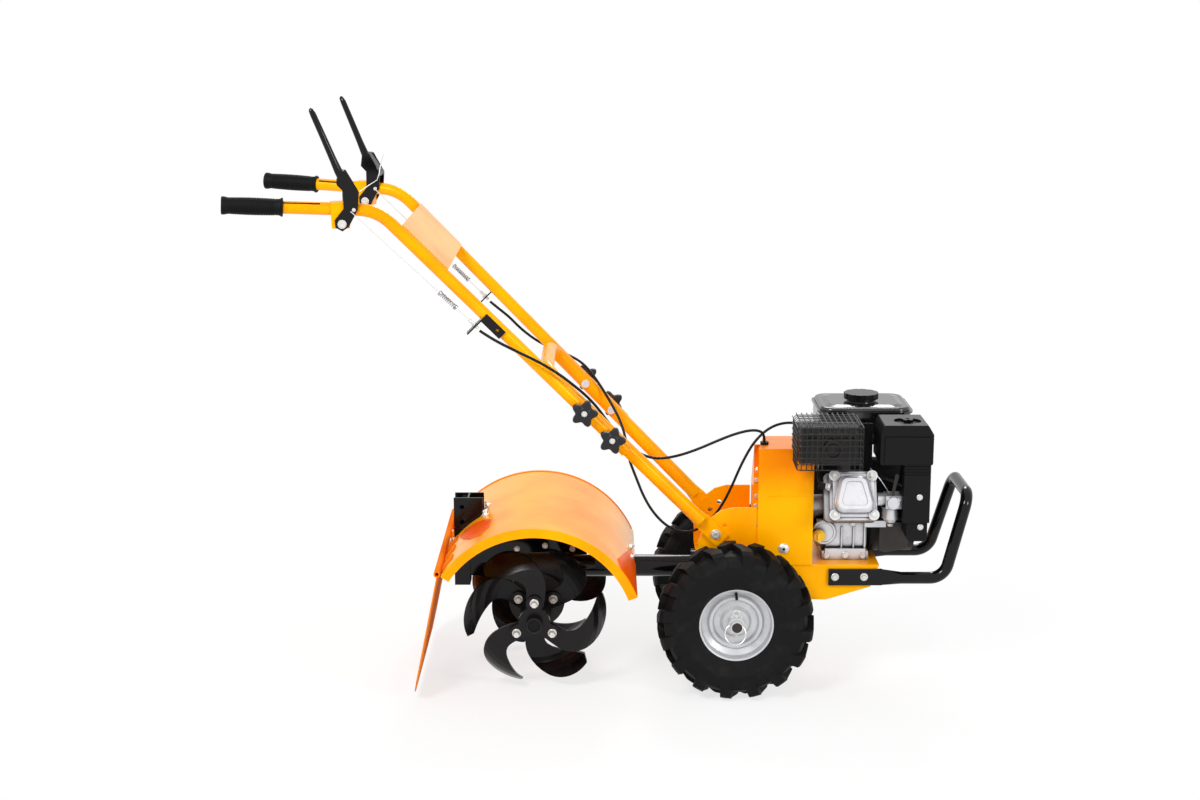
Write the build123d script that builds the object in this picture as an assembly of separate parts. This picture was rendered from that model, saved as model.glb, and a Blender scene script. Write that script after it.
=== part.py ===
# Walk-behind rear-tine garden tiller: a petrol engine on a two-wheeled frame
# drives a row of sickle tines under a hood, steered by two long handles.
# Sizes are in millimetres. X runs forward, Y to the left, Z up from the floor.
# Every piece is drawn with X measured from the wheel axle and moved at the end
# so that the origin lies on the floor at the middle of the whole machine.

from math import atan2, cos, degrees, pi, radians, sin, tan
import os

from build123d import *

os.makedirs("parts", exist_ok=True)

# Driving dimensions of the whole machine
rear_reach = 1046.0
front_reach = 518.5
axle_x = (rear_reach - front_reach) / 2
sheet = 2.5
fit_gap = 0.3

# Wheels
wheel_radius = 168.0
track_half = 180.0
tyre_width = 100.0
tread_radius = 152.0
bead_radius = 79.0
rim_flange_radius = 89.0
rim_width = 84.0
lugs_per_side = 16
axle_radius = 12.5
hub_radius = 18.5
axle_half_length = 236.0

# Drive line and rotor
drive_height = 234.0
drive_tube_radius = 24.0
rotor_x = -429.0
rotor_height = 163.0
rotor_radius = 162.5
rotor_shaft_radius = 17.0
flange_radius = 56.0
tine_bolt_radius = 44.0
tine_thickness = 6.0
outer_flange_y = 182.0
inner_flange_y = 84.0
tines_per_flange = 3

# Hood and flap
hood_x = -428.0
hood_height = 156.0
hood_radius = 233.0
hood_half_width = 250.0
hood_rear_angle = 146.5
hood_front_angle = 21.0
hood_lip = 20.0
flap_length = 278.0
flap_lean = 11.5
hinge_pin_radius = 4.0

# Frame
frame_half_width = 100.0
deck_top = 266.0
deck_thickness = 4.0
deck_front = 316.0
skirt_bottom = 187.0
plate_rear = -77.0
plate_top = 393.0
cover_rear = 51.0
cover_front = 170.0
cover_top = 524.0

# Handles
handle_bolt_x = -40.0
handle_bolt_z = 336.0
handle_angle = 45.4
handle_splay = 0.07
lower_tube_radius = 15.0
upper_tube_radius = 13.0
lower_tube_y = 108.0
upper_tube_y = lower_tube_y + lower_tube_radius + upper_tube_radius + fit_gap
knob_stations = (318.0, 401.0)
upper_tube_start = 276.0
upper_bend_station = 998.0
lower_top_station = 515.0
grip_radius = 17.5
grip_length = 117.0

# Engine
crank_y = 30.0
crank_z = 368.0
engine_x = 245.0
head_tilt = 25.0
barrel_lift = -10.0
cover_x = 249.0
cover_lift = -17.0
cover_bolts = [(-40, 25), (40, 25), (-41, -59), (41, -59)]


def on_machine(shape):
    """Moves a piece from the axle's X to the part's own origin."""
    return Location((axle_x, 0, 0)) * shape


def save(name, *solids):
    """Writes one sub-part, a single solid or several that don't touch."""
    placed = [on_machine(solid) for solid in solids]
    shape = placed[0] if len(placed) == 1 else Compound(children=placed)
    export_step(shape, f"parts/{name}.step")


def other_side(shape):
    return mirror(shape, about=Plane.XZ)


def box(x0, x1, y0, y1, z0, z1):
    size = (x1 - x0, y1 - y0, z1 - z0)
    middle = ((x0 + x1) / 2, (y0 + y1) / 2, (z0 + z1) / 2)
    return Location(middle) * Box(*size)


def rod_y(x, z, y0, y1, radius):
    """A cylinder along Y from y0 to y1."""
    middle = Plane(origin=(x, (y0 + y1) / 2, z), z_dir=(0, 1, 0))
    return middle * Cylinder(radius, abs(y1 - y0))


def rod_x(y, z, x0, x1, radius):
    """A cylinder along X from x0 to x1."""
    middle = Plane(origin=((x0 + x1) / 2, y, z), z_dir=(1, 0, 0))
    return middle * Cylinder(radius, abs(x1 - x0))


def rod_between(start, end, radius):
    start, end = Vector(*start), Vector(*end)
    middle = Plane(origin=(start + end) / 2, z_dir=end - start)
    return middle * Cylinder(radius, (end - start).length)


def bent_rod(points, corner_radii, radius, hollow_radius=0.0):
    """A round rod or tube along straight runs joined by tangent arcs."""
    path = FilletPolyline(*points, radius=corner_radii)
    start = Plane(origin=path @ 0, z_dir=path % 0)
    section = Circle(radius)
    if hollow_radius:
        section -= Circle(hollow_radius)
    return sweep(start * section, path=path)


def side_outline(points, y0, y1):
    """Extrudes a closed outline of (x, z) points from y0 to y1."""
    face = Plane.XZ * make_face(Polyline(*points, close=True))
    return Location((0, y0, 0)) * extrude(face, amount=-(y1 - y0))


def around_wheel_axis(profile, centre_x=0.0, centre_z=wheel_radius, arc=360):
    """Revolves a closed (y, radius) profile about a Y axis."""
    points = [(centre_x, y, centre_z + r) for y, r in profile]
    face = make_face(Polyline(*points, close=True))
    spin = Axis((centre_x, 0, centre_z), (0, 1, 0))
    return revolve(face, spin, arc)


def handle_point(station, y, lift=0.0):
    """A point on the handles' slope, station up from the lower bolt."""
    run, rise = cos(radians(handle_angle)), sin(radians(handle_angle))
    x = handle_bolt_x - station * run + lift * rise
    return (x, y, handle_bolt_z + station * rise + lift * run)


def lower_y(station):
    return lower_tube_y + handle_splay * station


def upper_y(station):
    return upper_tube_y + handle_splay * station


# Wheels: tyre, rim with hub, pin and the live axle that joins them


def tyre():
    half = tyre_width / 2
    carcass = around_wheel_axis([
        (-34, bead_radius), (-40, bead_radius), (-44, 92), (-half, 112),
        (-half, 130), (-46, 143), (-34, tread_radius - 1), (0, tread_radius + 2),
        (34, tread_radius - 1), (46, 143), (half, 130), (half, 112), (44, 92),
        (40, bead_radius), (34, bead_radius), (36, 95), (41, 114), (41, 128),
        (34, 138), (0, 142), (-34, 138), (-41, 128), (-41, 114), (-36, 95)])
    envelope = around_wheel_axis([
        (-half, 128), (-half, 158), (-40, wheel_radius - 4), (0, wheel_radius),
        (40, wheel_radius - 4), (half, 158), (half, 128), (40, 140), (0, 148),
        (-40, 140)])
    bar = Plane.XY * make_face(Polyline(
        (-9, 4), (9, 4), (31, -24), (34, -52), (10, -52), (7, -30), close=True))
    bar = Location((0, 0, 120)) * extrude(bar, amount=60)
    lugs = []
    pitch = 360 / lugs_per_side
    for index in range(lugs_per_side):
        for side, shape in ((0, bar), (0.5, other_side(bar))):
            turn = Rotation(0, (index + side) * pitch, 0)
            lugs.append(Location((0, 0, wheel_radius)) * turn * shape)
    tread = envelope & Compound(children=lugs)
    return carcass + tread.solids()


def rim():
    half = rim_width / 2
    r = rim_flange_radius
    barrel = around_wheel_axis([
        (-half, r), (-half, r - 3), (-half + 4, bead_radius - 3.5), (-20, bead_radius - 6),
        (-14, 60), (14, 60), (20, bead_radius - 6), (half - 4, bead_radius - 3.5),
        (half, r - 3), (half, r), (half - 1.5, r), (half - 2.5, bead_radius - fit_gap),
        (19, bead_radius - 1.5), (12, 63), (-12, 63), (-19, bead_radius - 1.5),
        (-half + 2.5, bead_radius - fit_gap), (-half + 1.5, r)])
    disc = around_wheel_axis([
        (-14, 61), (-20, 56), (-20, 50), (-12, 46), (-12, 34), (-20, 28), (-22, 17),
        (-18, 17), (-17, 26), (-9, 32), (-9, 48), (-16, 53), (-11, 61)])
    hub = around_wheel_axis([
        (-46, axle_radius + fit_gap), (-46, hub_radius), (24, hub_radius),
        (24, axle_radius + fit_gap)])
    return barrel + disc + hub


def wheel_pin():
    y = -38
    pin = Location((0, y, wheel_radius)) * Cylinder(4, 2 * hub_radius + 10)
    eye = Location((0, y, wheel_radius + hub_radius + 7)) * Rotation(90, 0, 0) * Torus(7, 1.6)
    return pin + eye


def build_wheels():
    tyre_shape, rim_shape, pin_shape = tyre(), rim(), wheel_pin()
    pin_hole = Location((0, -38, wheel_radius)) * Cylinder(4 + fit_gap / 2, 60)
    rim_shape -= pin_hole
    for name, shape in (("tyre", tyre_shape), ("rim", rim_shape)):
        shape = Location((0, -track_half, 0)) * shape
        save(f"{name}_right", shape)
        save(f"{name}_left", other_side(shape))
    pin_shape = Location((0, -track_half, 0)) * pin_shape
    save("wheel_pins", pin_shape, other_side(pin_shape))
    axle = rod_y(0, wheel_radius, -axle_half_length, axle_half_length, axle_radius)
    for y in (-track_half - 38, track_half + 38):
        axle -= Location((0, y, wheel_radius)) * Cylinder(4 + fit_gap / 2, 60)
    save("axle", axle)


# Drive line: worm gearbox over the axle, drive tube, rotor gearbox


def gearbox(x, axis_z, bore_radius, half_width, back, front):
    """Worm case: a drum round the cross shaft under a drum along X."""
    wheel_case = rod_y(x, axis_z, -half_width, half_width, 62)
    neck = rod_y(x, axis_z, -half_width - 22, half_width + 22, 32)
    worm_case = rod_x(0, drive_height, x - back, x + front, 30)
    flange = rod_x(0, drive_height, x - back, x - back + 8, 38)
    case = wheel_case + neck + worm_case + flange
    return case - rod_y(x, axis_z, -150, 150, bore_radius)


def build_drive_line():
    wheel_box = gearbox(0, wheel_radius, axle_radius + 1.0, 38, 78, 96)
    wheel_box -= box(-200, 200, -100, 100, deck_top - deck_thickness, 400)
    save("wheel_gearbox", wheel_box)
    rotor_box = gearbox(rotor_x, rotor_height, rotor_shaft_radius + 1.5, 30, 70, 72)
    rotor_box -= rod_x(0, drive_height, rotor_x + 64, rotor_x + 80, 38.5)
    rotor_box += rod_x(0, drive_height, rotor_x + 60, rotor_x + 72, 38)
    save("rotor_gearbox", rotor_box)
    tube = rod_x(0, drive_height, rotor_x + 72, -78, drive_tube_radius)
    tube -= rod_x(0, drive_height, rotor_x + 70, -70, drive_tube_radius - 4)
    for x0, x1 in ((rotor_x + 72, rotor_x + 82), (-88, -78)):
        collar = rod_x(0, drive_height, x0, x1, 38) - rod_x(0, drive_height, x0, x1, drive_tube_radius - 4)
        tube += collar
    save("drive_tube", tube)


# Rotor: shaft, bolted flanges and sickle tines


# Middle line of a tine: distance from the shaft, angle swept, half of its width
tine_line = [(26, 0, 18), (58, -3, 20), (88, 0, 23), (110, 9, 25), (126, 22, 24), (138, 36, 17),
             (147, 48, 6)]


def tine_outline():
    """Sickle seen along the shaft: root at angle zero, sweeping forward."""
    centres = [(r * cos(radians(a)), r * sin(radians(a))) for r, a, half in tine_line]
    outer, inner = [], []
    for index, (x, y) in enumerate(centres):
        before = centres[max(index - 1, 0)]
        after = centres[min(index + 1, len(centres) - 1)]
        heading = atan2(after[1] - before[1], after[0] - before[0])
        half = tine_line[index][2]
        outer.append((x + sin(heading) * half, y - cos(heading) * half))
        inner.append((x - sin(heading) * half, y + cos(heading) * half))
    return outer, inner


def tine_sheet(bend_side):
    """Round dish that every tine is cut from: flat, then bent over."""
    t, r = tine_thickness, rotor_radius
    flat, bend = 88.0, 62.0
    outer, inner = [(t, 12.0), (t, flat)], [(0.0, 12.0), (0.0, flat)]
    for step in range(1, 6):
        turn = radians(13 * step)
        outer.append((t + (bend - t) * (1 - cos(turn)), flat + (bend - t) * sin(turn)))
        inner.append((bend * (1 - cos(turn)), flat + bend * sin(turn)))
    reach = [(y, min(radius, r)) for y, radius in outer]
    back = [(y, min(radius, r)) for y, radius in inner]
    last = radians(65)
    slope = (sin(last), cos(last))
    span = (r - reach[-1][1]) / slope[1]
    reach.append((reach[-1][0] + span * slope[0], r))
    span = (r - back[-1][1]) / slope[1]
    back.append((back[-1][0] + span * slope[0], r))
    profile = [(bend_side * y, radius) for y, radius in reach + back[::-1]]
    return around_wheel_axis(profile, 0, 0)


def tine_set(face_y, bend_side, first_angle):
    outer, inner = tine_outline()
    face = make_face([Spline(*outer), Line(outer[-1], inner[-1]),
                      Spline(*inner[::-1]), Line(inner[0], outer[0])])
    blank = extrude(Plane.XZ * face, amount=140, both=True)
    blade = tine_sheet(bend_side) & blank
    blade -= rod_y(tine_bolt_radius, 0, -20, 20, 5.5)
    tines = []
    for index in range(tines_per_flange):
        turn = Rotation(0, -(first_angle + 120 * index), 0)
        tines.append(Location((rotor_x, face_y, rotor_height)) * turn * blade)
    return tines


def rotor_flange(face_y, side, first_angle):
    """Three-armed plate with a bolt through each arm."""
    y0, y1 = sorted((face_y, face_y + side * 8))
    plate = rod_y(0, 0, y0, y1, 34)
    for index in range(tines_per_flange):
        turn = Rotation(0, -(first_angle + 120 * index), 0)
        arm = box(0, tine_bolt_radius, y0, y1, -16, 16) + rod_y(tine_bolt_radius, 0, y0, y1, 16)
        bolt = rod_y(tine_bolt_radius, 0, y0 - 13, y1 + 13, 5)
        plate += turn * (arm + bolt)
    plate -= rod_y(0, 0, y0, y1, rotor_shaft_radius + fit_gap / 2)
    return Location((rotor_x, 0, rotor_height)) * plate


def build_rotor():
    shaft = rod_y(rotor_x, rotor_height, -206, 206, rotor_shaft_radius)
    save("rotor_shaft", shaft)
    for side, name in ((-1, "right"), (1, "left")):
        outer_face, inner_face = side * outer_flange_y, side * inner_flange_y
        flanges = [rotor_flange(outer_face, side, 90), rotor_flange(inner_face, side, 30)]
        save(f"rotor_flanges_{name}", *flanges)
        outer_set = tine_set(outer_face - side * fit_gap, -side, 90)
        inner_set = tine_set(inner_face - side * (tine_thickness + fit_gap), side, 30)
        save(f"outer_tines_{name}", *outer_set)
        save(f"inner_tines_{name}", *inner_set)


# Hood over the tines, its brackets and the rear flap


def hood_sector(inner, outer, y0, y1, from_angle, to_angle):
    """Part of a ring about the hood's axis between two angles."""
    ring = rod_y(hood_x, hood_height, y0, y1, outer) - rod_y(hood_x, hood_height, y0 - 1, y1 + 1, inner)
    reach = 3 * outer
    steps = 6
    points = [(hood_x, hood_height)]
    for index in range(steps + 1):
        angle = radians(from_angle + (to_angle - from_angle) * index / steps)
        points.append((hood_x + reach * cos(angle), hood_height + reach * sin(angle)))
    return ring & side_outline(points, y0 - 1, y1 + 1)


def hood_point(angle, radius=hood_radius):
    turn = radians(angle)
    return (hood_x + radius * cos(turn), hood_height + radius * sin(turn))


def build_hood():
    span = (hood_front_angle, hood_rear_angle)
    half = hood_half_width
    shell = hood_sector(hood_radius - sheet, hood_radius, -half, half, *span)
    for y0, y1 in ((-half, -half + sheet), (half - sheet, half)):
        shell += hood_sector(hood_radius - hood_lip, hood_radius - 1, y0, y1, *span)
    shell -= box(-616, -538, -27, 27, 290, 420)
    shell -= rod_x(0, drive_height, -260, -180, drive_tube_radius + 3)
    save("hood", shell)
    x0, x1 = -300, -236
    top = hood_height + (hood_radius - sheet - fit_gap)
    stay = box(x0, x1, -32, 32, drive_height, top)
    stay &= rod_y(hood_x, hood_height, -40, 40, hood_radius - sheet - fit_gap)
    stay -= rod_x(0, drive_height, x0 - 5, x1 + 5, drive_tube_radius + fit_gap)
    stay -= box(x0 + 5, x1 + 5, -26, 26, drive_height - 40, top)
    save("hood_stay", stay)


def build_rear_bracket():
    """Upright channel at the end of the beam, with a pin hole for a depth bar."""
    back, front = -610.0, -576.0
    low, high = 196.0, 395.0
    wall = 4.0
    web = box(front - wall, front, -20, 20, low, high)
    channel = web
    for y0, y1 in ((-24, -20), (20, 24)):
        channel += side_outline([(back, low), (front, low), (front, 330), (-546, 358), (-546, high),
                                 (back, high)], y0, y1)
    channel -= rod_y(-592, 374, -40, 40, 5.25)
    channel -= rod_y(-592, 340, -40, 40, 5.25)
    beam = box(front, rotor_x - 70, -18, 18, 216, 252)
    save("rear_bracket", channel + beam)


def hinge_line():
    """The flap's hinge pin, just outside the hood's rear edge."""
    return hood_point(hood_rear_angle, hood_radius + 9)


def knuckle_rows(first):
    """Y ranges of every other knuckle, the same on both sides."""
    rows = []
    for index in range(first, 7, 2):
        start = 40 + 35 * index
        rows += [(start, start + 34.5), (-start - 34.5, -start)]
    return [row for row in rows if max(abs(row[0]), abs(row[1])) < hood_half_width]


def build_flap():
    half = hood_half_width
    hx, hz = hinge_line()
    lean = radians(flap_lean)
    plane = Plane(origin=(hx, 0, hz), x_dir=(0, 1, 0), z_dir=(cos(lean), 0, -sin(lean)))
    corner = 40
    outline = Polyline((-half, -12), (half, -12), (half, -flap_length + corner),
                       (half - corner, -flap_length), (-half + corner, -flap_length),
                       (-half, -flap_length + corner), close=True)
    flap = extrude(plane * make_face(outline), amount=sheet)
    barrel = hinge_pin_radius + 3
    for y0, y1 in knuckle_rows(1) + [(-39.5, 39.5)]:
        strap = Location(((y0 + y1) / 2, -8, 0)) * Rectangle(y1 - y0, 16)
        flap += extrude(plane * strap, amount=sheet) + rod_y(hx, hz, y0, y1, barrel)
    flap -= rod_y(hx, hz, -half, half, hinge_pin_radius + 0.08)
    save("rear_flap", flap)
    leaves = []
    for y0, y1 in knuckle_rows(0):
        knuckle = rod_y(hx, hz, y0, y1, barrel)
        inner = hood_radius + fit_gap
        knuckle += hood_sector(inner, inner + sheet, y0, y1, hood_rear_angle - 9, hood_rear_angle)
        leaves.append(knuckle - rod_y(hx, hz, y0 - 1, y1 + 1, hinge_pin_radius + 0.08))
    save("flap_hinge", *leaves)
    save("hinge_pin", rod_y(hx, hz, -half + 28, half - 28, hinge_pin_radius))


# Frame: engine base, handle plates, belt cover


def build_frame():
    deck = box(plate_rear, deck_front, -frame_half_width, frame_half_width,
               deck_top - deck_thickness, deck_top)
    skirt = [(60, deck_top), (deck_front, deck_top), (deck_front - 18, 216), (203, skirt_bottom),
             (60, skirt_bottom)]
    for y0, y1 in ((-frame_half_width, -frame_half_width + 4), (frame_half_width - 4, frame_half_width)):
        deck += side_outline(skirt, y0, y1)
    save("engine_base", deck)
    plate = side_outline([(plate_rear, deck_top + 0.2), (plate_rear, 318), (-62, 352), (-48, 372), (-30, 386),
                          (-4, plate_top), (cover_rear - 2, plate_top), (cover_rear - 2, deck_top + 0.2)],
                         -frame_half_width, -frame_half_width + 5)
    plate -= rod_y(handle_bolt_x, handle_bolt_z, -120, -80, 5.25)
    plate -= rod_y(-20, 354, -120, -80, 5.25)
    flange = box(plate_rear, cover_rear - 2, -frame_half_width + 5, -frame_half_width + 25,
                 deck_top + 0.2, deck_top + 5)
    plate += flange
    save("handle_plate_right", plate)
    save("handle_plate_left", other_side(plate))
    near = make_face(
        Polyline((cover_rear, -103), (cover_front, -103), (cover_front, 20), (70, 20), close=True))
    cover = Location((0, 0, deck_top + 0.2)) * extrude(near, amount=cover_top - deck_top)
    far = Plane.YZ * make_face(
        Polyline((20, deck_top + 0.2), (95, deck_top + 0.2), (95, 400), (20, 505), close=True))
    cover += Location((cover_rear, 0, 0)) * extrude(far, amount=cover_front - cover_rear)
    cover -= rod_y(108, 303, -110, -95, 5)
    save("belt_cover", cover)


# Handles: lower loop, upper tubes, cross plate, knobs, grips


def build_handles():
    top, radius = lower_top_station, lower_tube_radius
    bend = 42.0
    points = [handle_point(46, -lower_y(46)), handle_point(top, -lower_y(top)),
              handle_point(top, lower_y(top)), handle_point(46, lower_y(46))]
    loop = bent_rod(points, [bend, bend], radius)
    along = Vector(-cos(radians(handle_angle)), 0, sin(radians(handle_angle)))
    end_plate = Plane(origin=handle_point(0, -104.2), x_dir=along, z_dir=(0, -1, 0))
    flat = end_plate * (Pos(10, 0, 0) * Box(62, 36, 7.4))
    cheek = loft([
        Plane(origin=handle_point(34, -104.2), x_dir=(0, 1, 0),
              z_dir=along) * RectangleRounded(7.8, 36.4, 1),
        Plane(origin=handle_point(62, -lower_y(62)), x_dir=(0, 1, 0), z_dir=along) * Circle(radius)])
    foot = flat + cheek
    foot -= rod_y(handle_bolt_x, handle_bolt_z, -120, -80, 5.25)
    loop = loop + foot + other_side(foot)
    for station in knob_stations:
        x, _, z = handle_point(station, 0)
        loop -= rod_y(x, z, -250, 250, 4.2)
    save("lower_handle", loop)
    bend_x, bend_y, bend_z = handle_point(upper_bend_station, -upper_y(upper_bend_station))
    points = [handle_point(upper_tube_start, -upper_y(upper_tube_start)), (bend_x, bend_y, bend_z),
              (-rear_reach + 3, -259.0, 1062.0)]
    tube = bent_rod(points, [95.0], upper_tube_radius)
    for station in knob_stations:
        x, _, z = handle_point(station, 0)
        tube -= rod_y(x, z, -250, -100, 4.2)
    save("upper_handle_right", tube)
    save("upper_handle_left", other_side(tube))
    end, near_end = Vector(*points[2]), Vector(*points[1])
    back = (end - near_end).normalized()
    outer = end + back * 3
    inner = outer - back * grip_length
    grip = rod_between(tuple(inner), tuple(outer), grip_radius)
    collar = rod_between(tuple(inner - back * 5), tuple(inner), grip_radius + 1.5)
    bore = rod_between(tuple(inner - back * 8), tuple(end + back * 0.2), upper_tube_radius + fit_gap / 2)
    grip = grip + collar - bore
    save("grip_right", grip)
    save("grip_left", other_side(grip))


def star_knob():
    """Five-lobed knob about the Z axis, its hub towards minus Z."""
    lobes = [Pos(19 * cos(2 * pi * k / 5), 19 * sin(2 * pi * k / 5)) * Circle(9.5) for k in range(5)]
    body = Circle(19)
    for lobe in lobes:
        body += lobe
    star = extrude(body, amount=14)
    hub = Location((0, 0, -4)) * Cylinder(11, 8)
    return star + hub - Cylinder(4.3, 80)


def build_knobs():
    knobs, bolts = [], []
    for station in knob_stations:
        y = upper_y(station) + upper_tube_radius
        x, _, z = handle_point(station, 0)
        face = Plane(origin=(x, -y - 9.6, z), z_dir=(0, -1, 0))
        knob = face * star_knob()
        inside = -lower_y(station) + lower_tube_radius + 1.2
        bolt = rod_y(x, z, -y - 19, inside + 1, 4) + rod_y(x, z, inside, inside + 4, 9)
        knobs += [knob, other_side(knob)]
        bolts += [bolt, other_side(bolt)]
    save("star_knobs", *knobs)
    save("knob_bolts", *bolts)


def build_handle_panel():
    low, high = 812.0, 941.0
    lift = upper_tube_radius + fit_gap
    corners = [(low, -upper_y(low)), (high, -upper_y(high)), (high, upper_y(high)), (low, upper_y(low))]
    slope = Plane(origin=handle_point(0, 0, lift),
                  x_dir=(-cos(radians(handle_angle)), 0, sin(radians(handle_angle))),
                  z_dir=(sin(radians(handle_angle)), 0, cos(radians(handle_angle))))
    panel = extrude(slope * make_face(Polyline(*corners, close=True)), amount=2)
    for side in (-1, 1):
        start = Vector(*handle_point(low, side * upper_y(low)))
        end = Vector(*handle_point(high, side * upper_y(high)))
        ring = rod_between(tuple(start), tuple(end), lift + 2) - rod_between(tuple(start), tuple(end), lift)
        half = slope * Location((900, side * (upper_y(900) + 50), -lift + 25)) * Box(400, 100, 50)
        keep = ring & half
        panel += keep
    save("handle_panel", panel)


# Levers, cable brackets, adjusters and cables


def build_levers():
    x, z, y = -811.6, 1021.6, 219.5
    cheek = [(-825, 1015), (-811, 1007), (-798, 1016), (-779, 1050), (-776, 1086), (-806, 1132),
             (-822, 1130), (-820, 1100), (-808, 1088), (-808, 1052), (-826, 1030)]
    lever = side_outline(cheek, -y - 19, -y - 16) + side_outline(cheek, -y + 16, -y + 19)
    spine = side_outline([(-779, 1080), (-776, 1086), (-806, 1132), (-810, 1128)], -y - 17, -y + 17)
    lever += spine
    lever += side_outline([(-826, 1130), (-804, 1130), (-856, 1254), (-870, 1254)], -y - 9, -y + 9)
    lever -= side_outline([(-830, 1134), (-812, 1134), (-862, 1250), (-880, 1250)], -y - 6.5, -y + 6.5)
    lever += rod_y(x, z, -y - 22, -y + 22, 5)
    blank = side_outline([(x - 20, z - 9), (x + 16, z - 9), (x + 18, 1066), (x - 22, 1066)],
                         -y - 15, -y + 15)
    blank -= rod_y(x, z, -y - 30, -y + 30, 5 + fit_gap)
    upper_start = Vector(*handle_point(upper_bend_station, -upper_y(upper_bend_station)))
    upper_end = Vector(-rear_reach + 3, -259.0, 1062.0)
    turn = degrees(atan2(259.0 + handle_point(upper_bend_station, 0)[1] - upper_y(upper_bend_station),
                         rear_reach - 3 + handle_point(upper_bend_station, 0)[0]))
    swing = Location((x, -y, 0)) * Rotation(0, 0, turn) * Location((-x, y, 0))
    lever = swing * lever
    clamp = swing * blank
    clamp -= rod_between(tuple(upper_start), tuple(upper_end), upper_tube_radius + fit_gap)
    save("lever_right", lever)
    save("lever_left", other_side(lever))
    save("lever_clamps", *clamp.solids(), *other_side(clamp).solids())


def tube_plane(station, outward=0.0, lift=0.0):
    """Frame on the right upper tube: X up the tube, Z outwards, Y down."""
    low, high = Vector(*handle_point(0, -upper_y(0))), Vector(*handle_point(100, -upper_y(100)))
    along = (high - low).normalized()
    up = Vector(sin(radians(handle_angle)), 0, cos(radians(handle_angle)))
    out = up.cross(along) if up.cross(along).Y < 0 else along.cross(up)
    centre = Vector(*handle_point(station, -upper_y(station)))
    return Plane(origin=centre + out * outward + up * lift, x_dir=along, z_dir=out)


bracket_station = 691.0
cable_lift = -30.0


def cable_bracket():
    """L-shaped tab screwed to the outer side of the right upper tube."""
    face = upper_tube_radius + fit_gap
    tab = tube_plane(bracket_station - 26, face + 1.5, -4) * Box(54, 20, 3)
    tab -= tube_plane(bracket_station - 38, face, -4) * Cylinder(3.2, 20)
    flange = tube_plane(bracket_station, face - 8, -34) * Box(3, 38, 22)
    flange += tube_plane(bracket_station, face + 1.5, -8) * Box(3, 28, 3)
    hole = tube_plane(bracket_station, 5, cable_lift).rotated((0, 90, 0)) * Cylinder(3.5, 20)
    return tab + (flange - hole)


def cable_adjuster(pin):
    """Threaded adjuster in the bracket, with the bare inner wire up to the lever."""
    base = tube_plane(bracket_station, 5, cable_lift)
    along = base.x_dir
    start = base.origin
    parts = rod_between(tuple(start - along * 8), tuple(start + along * 18), 3.2)
    parts += rod_between(tuple(start + along * 2), tuple(start + along * 6), 6)
    tip = start + along * 17
    heading = (pin - tip).normalized()
    parts += rod_between(tuple(tip), tuple(pin), 1.4)
    parts += rod_between(tuple(tip + heading * 38), tuple(tip + heading * 84), 4.5)
    return parts


def build_cable_ends():
    bracket = cable_bracket()
    save("cable_brackets", bracket, other_side(bracket))
    right = cable_adjuster(Vector(-789.8, -244.0, 1048.3))
    left = other_side(cable_adjuster(Vector(-789.8, -193.5, 1048.3)))
    save("cable_adjusters", right, left)
    grommet = Location((66, -60, cover_top + 3.4)) * Cylinder(9, 6)
    save("cable_grommet", grommet - Location((66, -60, cover_top + 3)) * Cylinder(cable_radius + 0.4, 20))


# Cables, each a fixed length held at both ends
cable_radius = 3.0
right_cable = [
    (-537, -191, 796), (-518, -196, 784), (-491, -203, 770), (-454, -205, 752), (-415, -204, 733),
    (-375, -196, 707), (-339, -179, 675), (-315, -151, 648), (-293, -121, 617), (-272, -99, 582),
    (-243, -84, 545), (-215, -75, 514), (-190, -68, 499), (-160, -61, 492), (-120, -54, 497),
    (-78, -52, 511), (-38, -52, 529), (2, -54, 546), (38, -58, 556), (60, -60, 553), (66, -60, 540),
    (66, -60.2, 525)]
left_cable = [
    (-537, 191, 796), (-519, 195, 780), (-495, 199, 760), (-470, 202, 733), (-435, 203, 705),
    (-397, 202, 686), (-361, 195, 673), (-331, 177, 660), (-308, 151, 640), (-287, 121, 615),
    (-265, 92, 584), (-244, 66, 549), (-232, 45, 514), (-227, 30, 474), (-209, 16, 430),
    (-192, 6, 388), (-168, 0, 350), (-136, -2, 320), (-96, -2, 308), (-56, -2, 326),
    (-24, -2, 364), (0, -1, 412), (22, 2, 466), (50, 8, 516), (86, 15, 547),
              (126, 21, 556), (162, 25, 547), (180, 27, 520), (180, 27, 492)]


def corner_radii(points):
    """0.45 of the shorter run over the tangent of half the turn."""
    radii = []
    for before, here, after in zip(points, points[1:], points[2:]):
        into, away = Vector(*here) - Vector(*before), Vector(*after) - Vector(*here)
        half_turn = radians(into.get_angle(away)) / 2
        radii.append(0.45 * min(into.length, away.length) / tan(half_turn))
    return radii


def build_cables():
    for name, route in (("clutch_cable", right_cable), ("throttle_cable", left_cable)):
        radii = corner_radii(route)
        cable = bent_rod(route, radii, cable_radius)
        print(name, "radii", [round(radius) for radius in radii])
        save(name, cable)


# Engine: blocks, finned barrel, covers, tank, silencer and its guard


def engine_slope(distance, lift=0.0, x=engine_x):
    """A point along the barrel's slope, out from the crankshaft."""
    tilt = radians(head_tilt)
    y = crank_y - distance * cos(tilt) + lift * sin(tilt)
    return (x, y, crank_z + distance * sin(tilt) + lift * cos(tilt))


def slope_plane(distance, lift=0.0, x=engine_x):
    tilt = radians(head_tilt)
    return Plane(origin=engine_slope(distance, lift, x), x_dir=(1, 0, 0), z_dir=(0, -cos(tilt), sin(tilt)))


def slope_block(d0, d1, size_x, size_z, corner, x=engine_x, lift=0.0):
    face = slope_plane(d0, lift, x) * RectangleRounded(size_x, size_z, corner)
    return extrude(face, amount=d1 - d0)


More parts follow.
